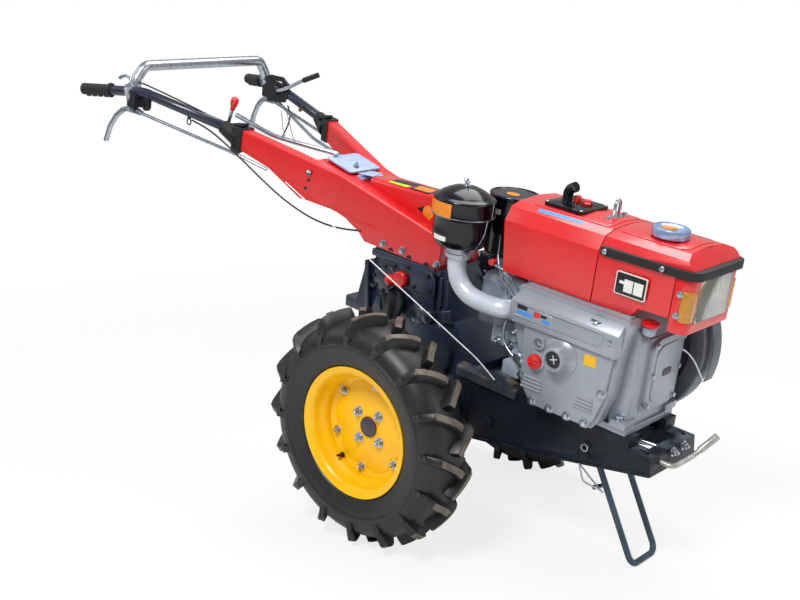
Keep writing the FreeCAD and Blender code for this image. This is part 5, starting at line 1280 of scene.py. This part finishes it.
# engine bed, stand and tow hook
bed = {
    "half": 108.0, "rail": [(118, -46), (374, 2), (680, 72), (679, 79), (373, 9), (118, -38)],
    "post": [(100, 112), (118, 60), (118, -30), (130, -30), (134, 60), (126, 112)],
    "spring": [(490, -112, 32), (500, -112, 10), (510, -112, -8), (524, -100, -18), (540, -84, -28),
               (548, -72, -38)],
    "slots": [(x, y) for x in (600, 640) for y in (-86, 94)],
}


def makeBed():
    redraw("engine_bed", 2.5, 40)
    half, bits = bed["half"], []
    for side in (-1, 1):
        low, high = sorted((side * (half - 2), side * (half + 3)))
        bits += [(addPrism, bed[key], low, high, "Y", 1.8) for key in ("rail", "post")]
        bits += [(addLathe, [(r, side * s) for r, s in profile], (x, side * half, z), "Y", 32)
                 for profile, x, z in (
            ([(15, 0), (15, 5), (12, 7), (0, 7)], 198, 26), ([(17, 0), (17, 3), (15, 4), (0, 4)], 494, 56))]
    assemble("bedEdges", "plateBlueGrey", bits, sharp=34)
    flange = circle(24, 7, 96, -94, 180, 15) + [(278, -118), (278, -62), (72, -62)]
    assemble("bedFlange", "soiledCasting", [(addPrism, flange, 122, 147, "Z", 3.0)], mirror=True, sharp=34)
    assemble("railSlots", "blackPlate", [
        (addPrism, roundedRect(x - 12, y - 4, x + 12, y + 4, 3.9), 119.6, 120.7, "Z", 0.2)
        for x, y in bed["slots"]])
    assemble("bedFittings", "zincPlate", [
        (addTube, [(560, -30, 112), (668, -8, 110)], 5.5, 18),                        # tie rod in the window
        (addTube, [(x, -117, z) for x, z in circle(9, 13, 500, 80, step=30)], 2.4, 8),      # the pin's ring
        (addTube, smoothPath(bed["spring"], 5), 2.2, 8),
        (addTube, [(490, -110, 30), (516, -98, 2), (545, -76, -34)], 2.2, 8),
        (addTube, [(522, -76, -34), (530, -50, -34)], 6.0, 16)])
    for node in ("stand", "stand_pin", "tow_hook"):
        redraw(node, 0.8)
    fasten("hookNuts", "stud", [((679, -11, 112), (1, 0, 0.1), 15), ((679, 40, 114), (1, 0, 0.1), 15)])
    fasten("railBolts", "stud", [((x, side * 96, 148), (0, 0, 1), 15) for x in (320, 566)
                                 for side in (-1, 1)])
    print("bed, stand and hook drawn")


# cords, held all the way by the machine
cords = [
    {"name": "brakeCable", "node": "brake_cable", "radius": 2.6, "finish": "blackCable",
     "slot": "black_cable",
     "lay": "loose", "stiffness": "stiff", "points": [(-922, -223, 598), (-864, -219, 589),
                                                      (-805, -218, 572), (-748, -218, 551),
                                                      (-696, -214, 527), (-649, -206, 501),
                                                      (-604, -196, 475), (-559, -184, 450),
                                                      (-512, -171, 429), (-461, -160, 413),
                                                      (-407, -148, 405), (-352, -135, 405),
                                                      (-299, -121, 413)]},
    {"name": "throttleCable", "node": "throttle_cable", "radius": 1.7, "finish": "paleCable",
     "slot": "pale_cable",
     "lay": "taut", "stiffness": "stiff", "points": [(-568, -163, 490), (-220, -160.5, 358),
                                                     (128, -158, 226), (176, -148, 201), (216, -128, 158)]},
    {"name": "leftCable", "node": "left_cable", "radius": 2.5, "finish": "blackCable", "slot": "black_cable",
     "lay": "loose", "stiffness": "stiff", "points": [(-985, 222, 600), (-950, 204, 580), (-924, 174, 559),
                                                      (-903, 140, 539), (-880, 105, 522)]},
    {"name": "lampWire", "node": "lamp_wire", "radius": 2.0, "finish": "paleCable", "slot": "pale_cable",
     "lay": "loose", "stiffness": "medium", "points": [(594, 92, 331), (607, 103, 323), (621, 110, 311),
                                                       (633, 118, 293), (643, 127, 271), (649, 141, 249)]},
]


def makeCord(spec):
    curve = bpy.data.curves.new(spec["name"], "CURVE")
    curve.dimensions = "3D"
    curve.resolution_u = 12
    curve.bevel_depth = spec["radius"] / 1000
    curve.bevel_resolution = 3
    curve.use_fill_caps = True
    spline = curve.splines.new("NURBS")
    route = [toPark @ Vector(p) for p in spec["points"]]
    spline.points.add(len(route) - 1)
    for point, spot in zip(spline.points, route):
        point.co = (*spot, 1.0)
    spline.order_u = 3
    spline.use_endpoint_u = True
    curve.materials.append(paints[spec["finish"]])
    piece = bpy.data.objects.new(spec["name"], curve)
    bpy.context.scene.collection.objects.link(piece)
    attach(piece, "chassis")
    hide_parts(spec["node"])
    bends = [route[0]]                       # the spline's own line: halfway points joined by parabolas
    middles = [route[0]] + [(a + b) / 2 for a, b in zip(route[1:-2], route[2:-1])] + [route[-1]]
    for start, bend, end in zip(middles, route[1:-1], middles[1:]):
        bends += [start * (1 - t) ** 2 + bend * 2 * t * (1 - t) + end * t * t
                  for t in (k / 16 for k in range(1, 17))]


makeGearbox()
makeHandleFrame()
makeHandles()
makeBed()
for spec in cords:
    makeCord(spec)
print("cords laid")

for shape in fastenings.values():
    bpy.data.objects.remove(shape)
